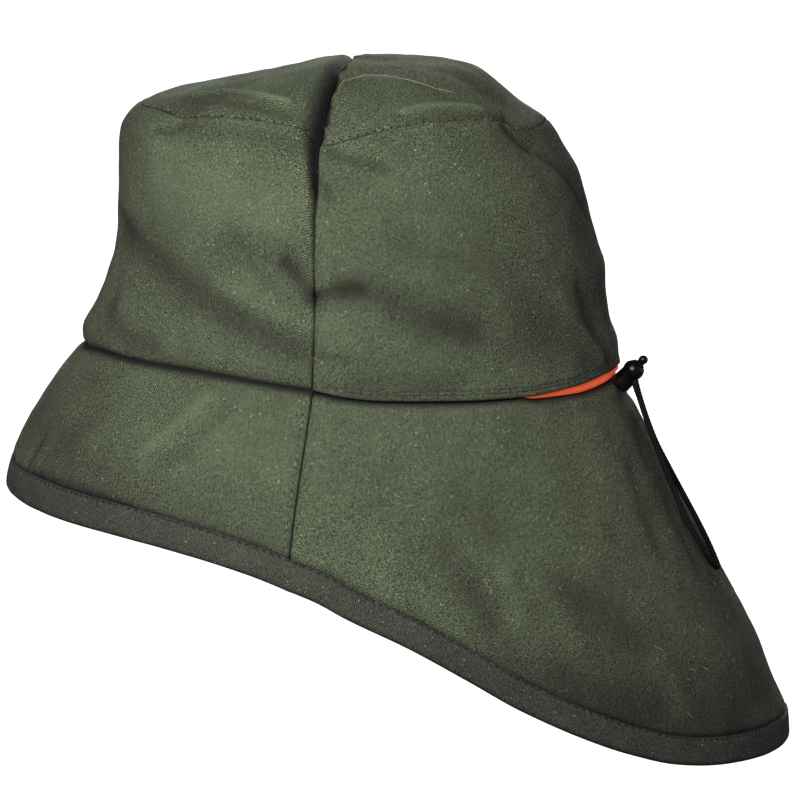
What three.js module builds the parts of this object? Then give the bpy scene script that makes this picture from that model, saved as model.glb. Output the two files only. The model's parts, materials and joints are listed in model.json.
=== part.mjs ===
// A waxed-cotton sou'wester hat: a two-half crown, a short front brim, a long neck flap and a drawcord with its lock.
// Millimetres, +Z up. The hat faces -Y, its wearer's left is +X, and the origin is the middle of the head opening,
// level with the seam between crown and brim.
import * as THREE from "three";
import { mergeVertices } from "three/addons/utils/BufferGeometryUtils.js";

// Driving sizes
const crownFront = 102; // half length of the head opening, towards the brow
const crownRear = 102; // half length of the head opening, towards the neck
const crownSide = 84; // half width of the head opening
const tipHeight = 95.5; // tip seam over the head opening
const domeRise = 17; // middle of the crown over the tip seam
const hemFront = 130.5; // half length of the lower edge, towards the brow
const hemRear = 166.5; // half length of the lower edge, towards the neck
const hemSide = 122; // half width of the lower edge
const seamForward = 2.6; // how far the side seam leans towards the brow by the lower edge
const brimDrop = 49; // front of the lower edge under the head opening
const flapDrop = 143; // rear of the lower edge under the head opening
const cloth = 1.2; // thickness of one panel
const hemCloth = 2.4; // thickness of the doubled rear hem of the crown
const hemDepth = 11; // height of that doubled hem
const stripCloth = 1.0; // thickness of each leaf of the folded strip
const stripWidth = 10.7; // width of the folded strip
const stripRaise = 0.5; // how far the strip stands out over the cloth above it
const bandCloth = 1.0; // thickness of the inner band
const bandShow = 3.2; // most of the inner band that shows below the crown's hem
const bandPuff = 1.9; // how far the band swells out where it shows
const bandLift = 1.5; // how far the band's edge stays above the crown's hem where it doesn't show
const flapTurn = 4; // height over which the flap comes out from under the hem
const brimTuck = 4; // how far the front brim goes up inside the crown
const foldDepth = 6.5; // deepest fold of the crown
const creaseDepth = 4.2; // depth of the groove across the top of the crown
const creaseFront = 6; // how fast the groove fades towards the brow
const creaseRear = 2.5; // how fast it fades towards the neck
const gap = 0.3; // clearance between any two pieces
const lockBall = 7.9; // diameter of the lock's round head
const lockBarrel = 7.6; // diameter of the lock's barrel
const lockReach = 8.4; // from the middle of the round head to the flat end of the barrel
const lockAngle = 173; // where the lock stands round the opening, 0 at the brow, 180 at the neck
const lockTilt = 47; // tilt of the lock's axis over the horizontal
const lockStand = 1.5; // from the crown's hem to the middle of the barrel's flat end
const lockLevel = -7.6; // height of the middle of that flat end
const plungerSize = 3.4; // diameter of the plunger
const plungerBore = 4.4; // diameter of the hole that the plunger slides in
const boreDepth = 8.0; // depth of that hole, from the top of the round head
const lockChamfer = 0.5; // bevel round the barrel's flat end
const plungerShown = 3.2; // how far the plunger stands out of the round head
const plungerTravel = 2.5; // how far it can be pressed in
const cordSize = 2.0; // diameter of the drawcord

// How finely the cloth is divided
const columns = 26; // facets round each half of the hat
const cordSides = 8;
const cordSteps = 56;
const lockSides = 16;
const plungerSides = 12;
const ballSteps = 9; // rings of facets on the lock's round head
const roundingSteps = 3; // rings of facets on the plunger's round end
const tiny = 1e-6; // a length that counts as none
const mergeWithin = 1e-4; // corners closer than this are one corner

// How the surfaces pass into each other, in degrees round the hat or in shares of a height or reach
const brimToFlap = { from: 50, to: 125 }; // the brim's slope passes into the flap's
const edgeToOpening = { from: 84, to: 96 }; // the slope's top passes from the crown's edge to the head opening
const foldStart = 0.12; // share of the wall's height where its folds have their full depth
const foldEnd = 0.93; // share of the wall's height where they start to fade
const creaseMiddle = 0.45; // the groove's depth in the middle of the crown, as a share of creaseDepth
const creaseFull = 0.7; // share of the way out where it has its full depth
const creaseFade = 0.85; // share of the way out where it starts to fade
const bandFade = 0.2; // share of bandShow over which the band's edge comes down to the hem
const turnShape = 2.5; // how quickly the flap comes out from under the hem
const seamShape = 4; // how closely the lean of the side seam keeps to that seam
const barrelShare = 0.6; // where the lock's barrel starts to narrow, as a share of lockReach
const waistShare = 0.9; // the lock's width between barrel and round head, as a share of lockBarrel

const colours = {
  cloth: { color: 0x67705a, roughness: 0.86, metalness: 0 },
  strip: { color: 0x59614f, roughness: 0.86, metalness: 0 },
  band: { color: 0xe65532, roughness: 0.8, metalness: 0 },
  lock: { color: 0x0b0b0b, roughness: 0.3, metalness: 0 },
  cord: { color: 0x1c1c1d, roughness: 0.75, metalness: 0 },
};

// Crown wall from its lower edge (rise 0) to the tip seam (rise 1). Reaches are shares of the half length or half
// width of the head opening.
const wallTable = [
  { rise: 0, front: 0.995, side: 1, rear: 1 },
  { rise: 0.1, front: 0.976, side: 0.994, rear: 0.99 },
  { rise: 0.2, front: 0.932, side: 0.982, rear: 0.957 },
  { rise: 0.3, front: 0.893, side: 0.972, rear: 0.943 },
  { rise: 0.4, front: 0.867, side: 0.966, rear: 0.938 },
  { rise: 0.5, front: 0.856, side: 0.96, rear: 0.915 },
  { rise: 0.6, front: 0.858, side: 0.952, rear: 0.89 },
  { rise: 0.7, front: 0.858, side: 0.94, rear: 0.87 },
  { rise: 0.8, front: 0.858, side: 0.922, rear: 0.838 },
  { rise: 0.9, front: 0.846, side: 0.89, rear: 0.782 },
  { rise: 0.95, front: 0.824, side: 0.868, rear: 0.755 },
  { rise: 1, front: 0.776, side: 0.833, rear: 0.722 },
];

// Heights round the hat, by the angle from the brow (0) over the ear (90) to the neck (180).
// root: lower edge of the crown, as a share of brimDrop. left and right: tip seam on the wearer's left and right, as a
// share of tipHeight.
const roundTable = [
  { angle: 0, root: 0.098, left: 1.0, right: 1.0 },
  { angle: 18, root: 0.104, left: 1.002, right: 1.0 },
  { angle: 32, root: 0.127, left: 1.004, right: 1.0 },
  { angle: 42, root: 0.113, left: 0.993, right: 0.998 },
  { angle: 48, root: 0.106, left: 0.981, right: 0.996 },
  { angle: 55, root: 0.099, left: 0.996, right: 0.995 },
  { angle: 66, root: 0.078, left: 1.001, right: 0.992 },
  { angle: 76, root: 0.041, left: 0.993, right: 0.985 },
  { angle: 83, root: 0.012, left: 0.976, right: 0.965 },
  { angle: 90, root: -0.02, left: 0.905, right: 0.905 },
  { angle: 96, root: -0.065, left: 0.92, right: 0.915 },
  { angle: 104, root: -0.092, left: 0.95, right: 0.945 },
  { angle: 113, root: -0.102, left: 0.976, right: 0.96 },
  { angle: 126, root: -0.112, left: 0.992, right: 0.972 },
  { angle: 138, root: -0.112, left: 0.991, right: 0.962 },
  { angle: 148, root: -0.092, left: 0.975, right: 0.95 },
  { angle: 158, root: -0.066, left: 0.932, right: 0.935 },
  { angle: 168, root: -0.042, left: 0.932, right: 0.935 },
  { angle: 180, root: -0.031, left: 0.945, right: 0.945 },
];

// Lower edge of brim and flap round the hat: depth as a share of flapDrop below brimDrop.
const hemTable = [
  { angle: 0, fall: 0 },
  { angle: 27, fall: 0.004 },
  { angle: 53, fall: 0.026 },
  { angle: 65, fall: 0.05 },
  { angle: 75, fall: 0.088 },
  { angle: 83, fall: 0.134 },
  { angle: 89, fall: 0.184 },
  { angle: 93.5, fall: 0.236 },
  { angle: 97, fall: 0.294 },
  { angle: 105, fall: 0.413 },
  { angle: 112, fall: 0.535 },
  { angle: 119, fall: 0.661 },
  { angle: 128.5, fall: 0.796 },
  { angle: 135, fall: 0.868 },
  { angle: 143, fall: 0.932 },
  { angle: 152, fall: 0.967 },
  { angle: 163, fall: 0.985 },
  { angle: 180, fall: 1 },
];

// Slope of brim and flap, from the crown (down 0) to the lower edge (down 1): share of the way out.
const slopeTable = [
  { down: 0, brim: 0, flap: 0 },
  { down: 0.08, brim: 0.1, flap: 0.026 },
  { down: 0.126, brim: 0.165, flap: 0.087 },
  { down: 0.25, brim: 0.34, flap: 0.23 },
  { down: 0.395, brim: 0.54, flap: 0.403 },
  { down: 0.53, brim: 0.712, flap: 0.56 },
  { down: 0.652, brim: 0.825, flap: 0.708 },
  { down: 0.773, brim: 0.914, flap: 0.856 },
  { down: 0.853, brim: 0.958, flap: 0.922 },
  { down: 0.933, brim: 0.988, flap: 0.987 },
  { down: 1, brim: 1, flap: 1 },
];

// Top of the crown, from its middle (out 0) to the tip seam (out 1): share of the fall from the middle to the seam.
const domeTable = [
  { out: 0, front: 0, side: 0, rear: 0 },
  { out: 0.14, front: 0.05, side: 0.01, rear: -0.06 },
  { out: 0.34, front: 0.25, side: 0.07, rear: -0.03 },
  { out: 0.5, front: 0.4, side: 0.18, rear: 0.03 },
  { out: 0.63, front: 0.53, side: 0.31, rear: 0.13 },
  { out: 0.72, front: 0.61, side: 0.43, rear: 0.3 },
  { out: 0.82, front: 0.72, side: 0.59, rear: 0.56 },
  { out: 0.91, front: 0.84, side: 0.77, rear: 0.79 },
  { out: 1, front: 1, side: 1, rear: 1 },
];

// How much of the inner band shows below the crown's hem, as a share of bandShow
const bandTable = [
  { angle: 90, shown: 0 },
  { angle: 128, shown: 0 },
  { angle: 137, shown: 0.2 },
  { angle: 147, shown: 0.55 },
  { angle: 158, shown: 0.9 },
  { angle: 166, shown: 1 },
  { angle: 180, shown: 0.85 },
];

// Folds of the crown wall. Angle and width are in degrees, rise and height are shares of the wall's height, and depth
// is a share of foldDepth, with hollows positive. Lean is how far the fold shifts round over the whole height.
const foldTable = [
  { angle: 90, width: 7, rise: 0.97, height: 0.32, depth: 0.8, lean: 0 },
  { angle: 98, width: 11, rise: 0.3, height: 0.09, depth: 0.5, lean: 60 },
  { angle: 76, width: 6, rise: 0.36, height: 0.1, depth: 0.35, lean: -50 },
  { angle: 103, width: 9, rise: 0.83, height: 0.07, depth: 0.3, lean: 40 },
  { angle: 48, width: 16, rise: 0.42, height: 0.16, depth: 0.3, lean: -30 },
  { angle: 47, width: 7, rise: 0.96, height: 0.1, depth: 0.4, lean: -60 },
  { angle: 150, width: 10, rise: 0.94, height: 0.1, depth: 0.4, lean: 40 },
  { angle: 135, width: 18, rise: 0.25, height: 0.16, depth: 0.3, lean: -40 },
];

// Rows that each panel is divided into. The doubled hem, the inner band and the flap behind it share the hem's rows.
const hemRows = [0, 0.5, 1].map((share) => (share * hemDepth) / tipHeight);
const wallRows = [...hemRows, 0.17, 0.26, 0.34, 0.42, 0.52, 0.62, 0.72, 0.82, 0.91, 1];
const tipRows = [0, 0.14, 0.3, 0.46, 0.6, 0.72, 0.82, 0.91, 1];
const brimRows = [0.07, 0.17, 0.28, 0.4, 0.53, 0.66];
const turnRows = [0.3, 0.65];
const flapRows = [0, 0.06, 0.13, 0.21, 0.3, 0.39, 0.48, 0.57, 0.66, 0.75, 0.84];

// Route of the drawcord's loop, from one side of the lock round to the other
const cordRoute = [
  [12.8, 109.2, -6.9],
  [12.2, 110.9, -12.0],
  [11.6, 113.5, -20.0],
  [11.2, 117.8, -31.5],
  [11.6, 123.3, -44.8],
  [12.9, 128.7, -57.0],
  [12.6, 133.7, -65.6],
  [10.0, 137.3, -72.2],
  [6.6, 139.4, -75.6],
  [3.4, 139.8, -76.0],
  [1.2, 138.3, -73.0],
  [0.2, 135.4, -67.0],
  [0.6, 131.4, -59.0],
  [2.0, 126.2, -49.0],
  [3.9, 121.1, -39.0],
  [6.0, 116.3, -29.0],
  [8.0, 112.7, -19.0],
  [9.6, 110.5, -11.5],
  [10.5, 109.5, -6.9],
];

const degrees = Math.PI / 180;

// A smooth curve through one column of a table, read at any place along its first column
function reading(table, along, column) {
  const at = table.map((row) => row[along]);
  const value = table.map((row) => row[column]);
  const step = at.slice(1).map((a, i) => (value[i + 1] - value[i]) / (a - at[i]));
  const slope = value.map((_, i) => {
    if (i === 0) return step[0];
    if (i === at.length - 1) return step[i - 1];
    return step[i - 1] * step[i] > 0 ? (2 * step[i - 1] * step[i]) / (step[i - 1] + step[i]) : 0;
  });
  return (place) => {
    const x = Math.min(Math.max(place, at[0]), at[at.length - 1]);
    let i = 0;
    while (i < at.length - 2 && x > at[i + 1]) i += 1;
    const width = at[i + 1] - at[i];
    const s = (x - at[i]) / width;
    const rest = 1 - s;
    return (
      value[i] * rest * rest * (1 + 2 * s) +
      value[i + 1] * s * s * (3 - 2 * s) +
      width * s * rest * (slope[i] * rest - slope[i + 1] * s)
    );
  };
}

function smooth(from, to, x) {
  const s = Math.min(Math.max((x - from) / (to - from), 0), 1);
  return s * s * (3 - 2 * s);
}

const wallFront = reading(wallTable, "rise", "front");
const wallSide = reading(wallTable, "rise", "side");
const wallRear = reading(wallTable, "rise", "rear");
const rootShare = reading(roundTable, "angle", "root");
const tipLeft = reading(roundTable, "angle", "left");
const tipRight = reading(roundTable, "angle", "right");
const hemShare = reading(hemTable, "angle", "fall");
const brimSlope = reading(slopeTable, "down", "brim");
const flapSlope = reading(slopeTable, "down", "flap");
const domeFront = reading(domeTable, "out", "front");
const domeSide = reading(domeTable, "out", "side");
const domeRear = reading(domeTable, "out", "rear");
const bandShare = reading(bandTable, "angle", "shown");

// Tables run from the brow to the neck, so they are read at an angle between 0 and 180 on either side.
const folded = (angle) => (Math.abs(angle) > 180 ? 360 - Math.abs(angle) : Math.abs(angle));
const onRight = (angle) => Math.sin(angle * degrees) < 0;

const rootLevel = (angle) => rootShare(folded(angle)) * brimDrop;
const tipLevel = (angle) => (onRight(angle) ? tipRight : tipLeft)(folded(angle)) * tipHeight;
const hemLevel = (angle) => -brimDrop - hemShare(folded(angle)) * (flapDrop - brimDrop);

// A point of an oval that is longer or shorter in front of the ears than behind them
function onOval(angle, front, rear, side, level) {
  const across = Math.sin(angle * degrees);
  const along = -Math.cos(angle * degrees);
  return new THREE.Vector3(side * across, (along < 0 ? front : rear) * along, level);
}

// Level outward direction of the head opening's oval
function outward(angle) {
  const across = Math.sin(angle * degrees);
  const along = -Math.cos(angle * degrees);
  return new THREE.Vector3(across / crownSide, along / (along < 0 ? crownFront : crownRear), 0).normalize();
}

function foldHollow(angle, rise) {
  let hollow = 0;
  for (const fold of foldTable) {
    const round = (folded(angle) - fold.angle - fold.lean * (rise - fold.rise)) / fold.width;
    const up = (rise - fold.rise) / fold.height;
    hollow += fold.depth * Math.exp(-round * round - up * up);
  }
  return hollow * foldDepth;
}

// The crown's outer surface, rise 0 at its lower edge and 1 at the tip seam
function crownPoint(angle, rise) {
  const level = rootLevel(angle) + (tipLevel(angle) - rootLevel(angle)) * rise;
  const front = crownFront * wallFront(rise);
  const rear = crownRear * wallRear(rise);
  const point = onOval(angle, front, rear, crownSide * wallSide(rise), level);
  const ends = smooth(0, foldStart, rise) * smooth(1, foldEnd, rise);
  return point.addScaledVector(outward(angle), -foldHollow(angle, rise) * ends);
}

// The rise that lies at a given level on the crown wall
const riseAt = (angle, level) => (level - rootLevel(angle)) / (tipLevel(angle) - rootLevel(angle));

// The top of the crown, out 0 in the middle and 1 at the tip seam
function domePoint(angle, out) {
  const front = crownFront * wallFront(1) * out;
  const rear = crownRear * wallRear(1) * out;
  const point = onOval(angle, front, rear, crownSide * wallSide(1) * out, 0);
  const along = Math.cos(angle * degrees) ** 2;
  const end = Math.cos(angle * degrees) > 0 ? domeFront(out) : domeRear(out);
  const fall = end * along + domeSide(out) * (1 - along);
  const middle = tipHeight + domeRise;
  const reach = point.y < 0 ? creaseFront : creaseRear;
  const crease = creaseDepth * Math.exp(-Math.abs(point.y) / reach) * smooth(1, creaseFade, out);
  const deepening = creaseMiddle + (1 - creaseMiddle) * smooth(0, creaseFull, out);
  point.z = middle - (middle - tipLevel(angle)) * fall - crease * deepening;
  return point;
}

// Brim and flap: down 0 at the head opening and 1 at the lower edge
function slopePoint(angle, down) {
  const turn = smooth(brimToFlap.from, brimToFlap.to, folded(angle));
  const way = brimSlope(down) * (1 - turn) + flapSlope(down) * turn;
  const grown = (from, to) => from + (to - from) * way;
  const opening = smooth(edgeToOpening.from, edgeToOpening.to, folded(angle));
  const top = Math.max(rootLevel(angle), 0) * (1 - opening);
  const level = top + (hemLevel(angle) - top) * down;
  const front = grown(crownFront, hemFront);
  const rear = grown(crownRear, hemRear);
  const point = onOval(angle, front, rear, grown(crownSide, hemSide), level);
  point.y -= seamForward * down * Math.sin(angle * degrees) ** seamShape;
  return point;
}

// Direction square to a surface that is a function of angle and one other place, away from the hat's inside
function facing(surface, angle, place) {
  const small = 0.01;
  const round = surface(angle + small, place).sub(surface(angle - small, place));
  const along = surface(angle, place + small).sub(surface(angle, place - small));
  const square = round.cross(along).normalize();
  return square.dot(surface(angle, place)) < 0 ? square.negate() : square;
}

// Joins closed loops of points, one after the other, into one closed solid, with each facet split along its shorter
// diagonal so that neighbouring layers of cloth match. A ring has no ends; otherwise the first and the last loop are
// closed across, each point with its partner on the other face of the cloth.
function loft(loops, isRing) {
  const corners = [];
  const size = loops[0].length;
  const triangle = (a, b, c) => {
    const flat = a.distanceTo(b) < tiny || b.distanceTo(c) < tiny || c.distanceTo(a) < tiny;
    if (!flat) corners.push(a, b, c);
  };
  const quad = (a, b, c, d) => {
    if (a.distanceTo(c) <= b.distanceTo(d)) {
      triangle(a, b, c);
      triangle(a, c, d);
    } else {
      triangle(a, b, d);
      triangle(b, c, d);
    }
  };
  const last = isRing ? loops.length : loops.length - 1;
  for (let j = 0; j < last; j += 1) {
    const here = loops[j];
    const next = loops[(j + 1) % loops.length];
    for (let i = 0; i < size; i += 1) {
      const k = (i + 1) % size;
      quad(here[i], next[i], next[k], here[k]);
    }
  }
  if (!isRing) {
    const first = loops[0];
    const final = loops[loops.length - 1];
    for (let i = 0; i < size / 2 - 1; i += 1) {
      const k = size - 1 - i;
      quad(first[i], first[i + 1], first[k - 1], first[k]);
      quad(final[i], final[k], final[k - 1], final[i + 1]);
    }
  }
  const geometry = new THREE.BufferGeometry().setFromPoints(corners);
  return mergeVertices(geometry, mergeWithin);
}

// Angles of the columns of the front half (side -1) or the rear half (side 1) of the hat
function columnAngles(side) {
  const middle = side < 0 ? 0 : 180;
  return Array.from({ length: columns + 1 }, (_, j) => middle - 90 + (180 * j) / columns);
}

// The loop of one column of a panel: down its outer face and back up its inner face
function columnLoop(rows, angle) {
  const points = rows.map((row) => row(angle));
  return [...points.map(({ outer }) => outer), ...points.map(({ inner }) => inner).reverse()];
}

// One cloth panel of half the hat. Each row gives an outer and an inner point for an angle. The panel's two end faces
// are square to the side seam and lie half a gap from it.
function panel(side, rows) {
  const loops = columnAngles(side).map((angle, j) => {
    const loop = columnLoop(rows, angle);
    if (j > 0 && j < columns) return loop;
    const last = loop.length - 1;
    return loop.map((point, i) => {
      const outer = loop[Math.min(i, last - i)];
      return new THREE.Vector3(point.x, outer.y + (side * gap) / 2, point.z);
    });
  });
  return loft(loops, false);
}

// A row of a panel on a surface, sunk by some depth and with some thickness
function rowOn(surface, place, thickness, sunk = 0) {
  return (angle) => {
    const at = typeof place === "function" ? place(angle) : place;
    const out = facing(surface, angle, at);
    const outer = surface(angle, at).addScaledVector(out, -sunk);
    return { outer, inner: outer.clone().addScaledVector(out, -thickness) };
  };
}

// At the tip seam, wall and tip are cut along one slanting face between them.
const seamLean = { inward: 0.86, down: 0.62 };
function seamRow(surface, place) {
  return (angle) => {
    const outer = surface(angle, place);
    const inner = outer.clone().addScaledVector(outward(angle), -seamLean.inward * cloth);
    inner.z -= seamLean.down * cloth;
    return { outer, inner };
  };
}

function tipHalf(side) {
  const edge = 1 - gap / 2 / (crownSide * wallSide(1));
  const rows = tipRows.slice(0, -1).map((out) => (out === 0 ? middleRow : rowOn(domePoint, out, cloth)));
  return panel(side, [...rows, seamRow(domePoint, edge)]);

  function middleRow(angle) {
    const outer = domePoint(angle, 0);
    if (Math.abs(Math.cos(angle * degrees)) > tiny) outer.y += (side * gap) / 2;
    const inner = outer.clone();
    inner.z -= cloth;
    return { outer, inner };
  }
}

function crownHalf(side) {
  const edge = 1 - gap / 2 / tipHeight;
  const thickness = (rise) => (side > 0 && hemRows.includes(rise) ? hemCloth : cloth);
  const rows = wallRows.slice(0, -1).map((rise) => rowOn(crownPoint, rise, thickness(rise)));
  return panel(side, [...rows, seamRow(crownPoint, edge)]);
}

// The part of a panel that the folded strip holds is sunk, so that the strip stands only a little over the cloth.
const stripSunk = stripCloth + gap - stripRaise;

// How much longer a height is than the width square to the lower edge, where that edge falls away
function steepness(angle) {
  const step = 0.5;
  const edge = (at) => onOval(at, hemFront, hemRear, hemSide, hemLevel(at));
  const run = edge(angle + step).sub(edge(angle - step));
  return run.length() / Math.hypot(run.x, run.y);
}

// The place on the slope that lies a given length over the lower edge, measured square to it
const downFromEdge = (length) => (angle) => 1 + (length * steepness(angle)) / hemLevel(angle);

function stripRows() {
  return [
    rowOn(slopePoint, downFromEdge(stripWidth + gap + stripSunk), cloth),
    rowOn(slopePoint, downFromEdge(stripWidth + gap), cloth, stripSunk),
    rowOn(slopePoint, downFromEdge(stripWidth / 2), cloth, stripSunk),
    rowOn(slopePoint, downFromEdge(stripCloth + gap), cloth, stripSunk),
  ];
}

// The brim's top edge stands up inside the crown's lower edge and turns out under it.
function brimFront() {
  const inside = (height) => rowOn(crownPoint, height / tipHeight, cloth, cloth + gap);
  const rows = [
    inside(brimTuck),
    inside(brimTuck / 2),
    inside(-gap),
    ...brimRows.map((down) => rowOn(slopePoint, down, cloth)),
    ...stripRows(),
  ];
  return panel(-1, rows);
}

// Lower edge of the inner band, which ends over the crown's hem where it doesn't show
const bandShown = (angle) => bandShare(folded(angle));
const bandTop = (angle) => rootLevel(angle) - gap + bandLift * (1 - smooth(0, bandFade, bandShown(angle)));
const bandEdge = (angle) => bandTop(angle) - gap - bandShow * bandShown(angle);

// The flap's top edge stands up inside the crown's hem and the inner band, and comes out below them.
const flapInside = hemCloth + bandCloth + 2 * gap;
function neckFlap() {
  const clear = (angle) => Math.min(bandEdge(angle), rootLevel(angle)) - gap;
  const inside = (rise) => rowOn(crownPoint, rise, cloth, flapInside);
  const downAt = (angle, level) => level / hemLevel(angle);
  const turning = (share) => (angle) => {
    const level = clear(angle) - flapTurn * share;
    const row = rowOn(slopePoint, downAt(angle, level), cloth)(angle);
    const sunk = outward(angle).multiplyScalar(-flapInside * (1 - share) ** turnShape);
    return { outer: row.outer.add(sunk), inner: row.inner.add(sunk) };
  };
  const open = (share) => (angle) => {
    const start = downAt(angle, clear(angle) - flapTurn);
    const end = downFromEdge(stripWidth)(angle);
    return rowOn(slopePoint, start + (end - start) * share, cloth)(angle);
  };
  const rows = [
    inside(hemRows[2]),
    inside(hemRows[1]),
    inside((angle) => riseAt(angle, clear(angle))),
    ...turnRows.map(turning),
    ...flapRows.map(open),
    ...stripRows(),
  ];
  return panel(1, rows);
}

// Section of the folded strip: height over the lower edge as a share of its width, and which leaf it is on
const stripSection = [
  { up: 1, leaf: 1 },
  { up: 0.5, leaf: 1 },
  { up: 0.1, leaf: 1 },
  { up: 0, leaf: 0.5 },
  { up: 0, leaf: -0.5 },
  { up: 0.1, leaf: -1 },
  { up: 0.5, leaf: -1 },
  { up: 1, leaf: -1 },
];

function hemStrip() {
  const middle = stripSunk + cloth / 2;
  const holdIn = cloth / 2 + gap;
  const angles = [...columnAngles(-1).slice(0, -1), ...columnAngles(1).slice(0, -1)];
  const loops = angles.map((angle) => {
    const place = (up, offset) => {
      const down = downFromEdge(up)(angle);
      const out = facing(slopePoint, angle, down);
      return slopePoint(angle, down).addScaledVector(out, offset - middle);
    };
    const outer = stripSection.map(({ up, leaf }) => place(up * stripWidth, leaf * (holdIn + stripCloth)));
    const inner = stripSection.map(({ up, leaf }) => {
      const height = Math.max(up * stripWidth, stripCloth);
      return place(height, Math.sign(leaf) * holdIn);
    });
    return [...outer, ...inner.reverse()];
  });
  return loft(loops, true);
}

// Lower part of the inner band, from its top below the hem (down 0) to its edge (down 1): share of bandPuff
const bandSection = [
  { down: 0, puff: 0 },
  { down: 0.5, puff: 1 },
  { down: 1, puff: 0.4 },
];

// The inner band runs round the rear half between the crown's hem and the flap, and swells out where it shows.
function innerBand() {
  const sunk = hemCloth + gap;
  const level = (share) => (angle) => riseAt(angle, bandTop(angle) + (bandEdge(angle) - bandTop(angle)) * share);
  const swollen = ({ down, puff }) => (angle) =>
    rowOn(crownPoint, level(down), bandCloth, sunk - puff * bandPuff * bandShown(angle) ** 2)(angle);
  const rows = [
    rowOn(crownPoint, hemRows[2], bandCloth, sunk),
    rowOn(crownPoint, hemRows[1], bandCloth, sunk),
    ...bandSection.map(swollen),
  ];
  const loops = columnAngles(1).slice(1, -1).map((angle) => columnLoop(rows, angle));
  return loft(loops, false);
}

// Turns a profile round the lock's axis; its first and last points lie on the axis.
function turned(profile, sides) {
  const points = profile.map(([radius, along]) => new THREE.Vector2(radius, along));
  const geometry = new THREE.LatheGeometry(points, sides);
  geometry.rotateX(Math.PI / 2);
  geometry.deleteAttribute("normal");
  geometry.deleteAttribute("uv");
  return mergeVertices(geometry, mergeWithin);
}

// The lock's round head and barrel, with the plunger's hole down from the top. Along 0 is the head's middle.
function lockBody() {
  const ball = lockBall / 2;
  const bore = plungerBore / 2;
  const waist = Math.asin((waistShare * lockBarrel) / lockBall);
  const profile = [
    [0, -lockReach],
    [lockBarrel / 2 - lockChamfer, -lockReach],
    [lockBarrel / 2, -lockReach + lockChamfer],
    [lockBarrel / 2, -barrelShare * lockReach],
  ];
  const top = Math.asin(bore / ball);
  for (let i = 0; i <= ballSteps; i += 1) {
    const turn = Math.PI - waist + ((top - Math.PI + waist) * i) / ballSteps;
    profile.push([ball * Math.sin(turn), ball * Math.cos(turn)]);
  }
  profile.push([bore, ball - boreDepth], [0, ball - boreDepth]);
  return turned(profile, lockSides);
}

function lockPlunger() {
  const radius = plungerSize / 2;
  const top = lockBall / 2 + plungerShown;
  const bottom = lockBall / 2 - boreDepth + plungerTravel + gap;
  const profile = [
    [0, bottom],
    [radius, bottom],
  ];
  for (let i = 0; i < roundingSteps; i += 1) {
    const turn = ((Math.PI / 2) * i) / roundingSteps;
    profile.push([radius * Math.cos(turn), top - radius + radius * Math.sin(turn)]);
  }
  profile.push([0, top]);
  return turned(profile, plungerSides);
}

function drawcordLoop() {
  const points = cordRoute.map(([x, y, z]) => new THREE.Vector3(x, y, z));
  const path = new THREE.CatmullRomCurve3(points, false, "centripetal");
  const section = new THREE.Shape();
  for (let i = 0; i < cordSides; i += 1) {
    const turn = (2 * Math.PI * i) / cordSides;
    const corner = [(cordSize / 2) * Math.cos(turn), (cordSize / 2) * Math.sin(turn)];
    if (i === 0) section.moveTo(...corner);
    else section.lineTo(...corner);
  }
  section.closePath();
  const geometry = new THREE.ExtrudeGeometry(section, { steps: cordSteps, extrudePath: path, curveSegments: 1 });
  geometry.deleteAttribute("normal");
  geometry.deleteAttribute("uv");
  return mergeVertices(geometry, mergeWithin);
}

// A mesh with its faces turned outwards
function piece(name, geometry, look) {
  const positions = geometry.attributes.position;
  const index = geometry.index;
  let volume = 0;
  const corner = [new THREE.Vector3(), new THREE.Vector3(), new THREE.Vector3()];
  for (let i = 0; i < index.count; i += 3) {
    corner.forEach((point, k) => point.fromBufferAttribute(positions, index.getX(i + k)));
    volume += corner[0].dot(corner[1].cross(corner[2])) / 6;
  }
  if (volume < 0) index.array.reverse();
  geometry.computeVertexNormals();
  const mesh = new THREE.Mesh(geometry, new THREE.MeshStandardMaterial({ ...look, name }));
  mesh.name = name;
  return mesh;
}

// The lock's own axis is +Z in its group, which stands it on its barrel at the rear of the crown.
function lockGroup() {
  const group = new THREE.Group();
  const out = outward(lockAngle);
  const axis = out.clone().multiplyScalar(Math.cos(lockTilt * degrees));
  axis.z = Math.sin(lockTilt * degrees);
  const foot = onOval(lockAngle, crownFront, crownRear, crownSide, lockLevel);
  foot.addScaledVector(out, lockStand);
  group.position.copy(foot.addScaledVector(axis, lockReach));
  group.quaternion.setFromUnitVectors(new THREE.Vector3(0, 0, 1), axis);
  group.add(piece("lock_body", lockBody(), colours.lock));
  group.add(piece("lock_plunger", lockPlunger(), colours.lock));
  return group;
}

const hat = new THREE.Group();
hat.add(
  piece("tip_front", tipHalf(-1), colours.cloth),
  piece("tip_rear", tipHalf(1), colours.cloth),
  piece("crown_front", crownHalf(-1), colours.cloth),
  piece("crown_rear", crownHalf(1), colours.cloth),
  piece("brim_front", brimFront(), colours.cloth),
  piece("neck_flap", neckFlap(), colours.cloth),
  piece("hem_strip", hemStrip(), colours.strip),
  piece("inner_band", innerBand(), colours.band),
  piece("drawcord_loop", drawcordLoop(), colours.cord),
  lockGroup(),
);

export default hat;
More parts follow.
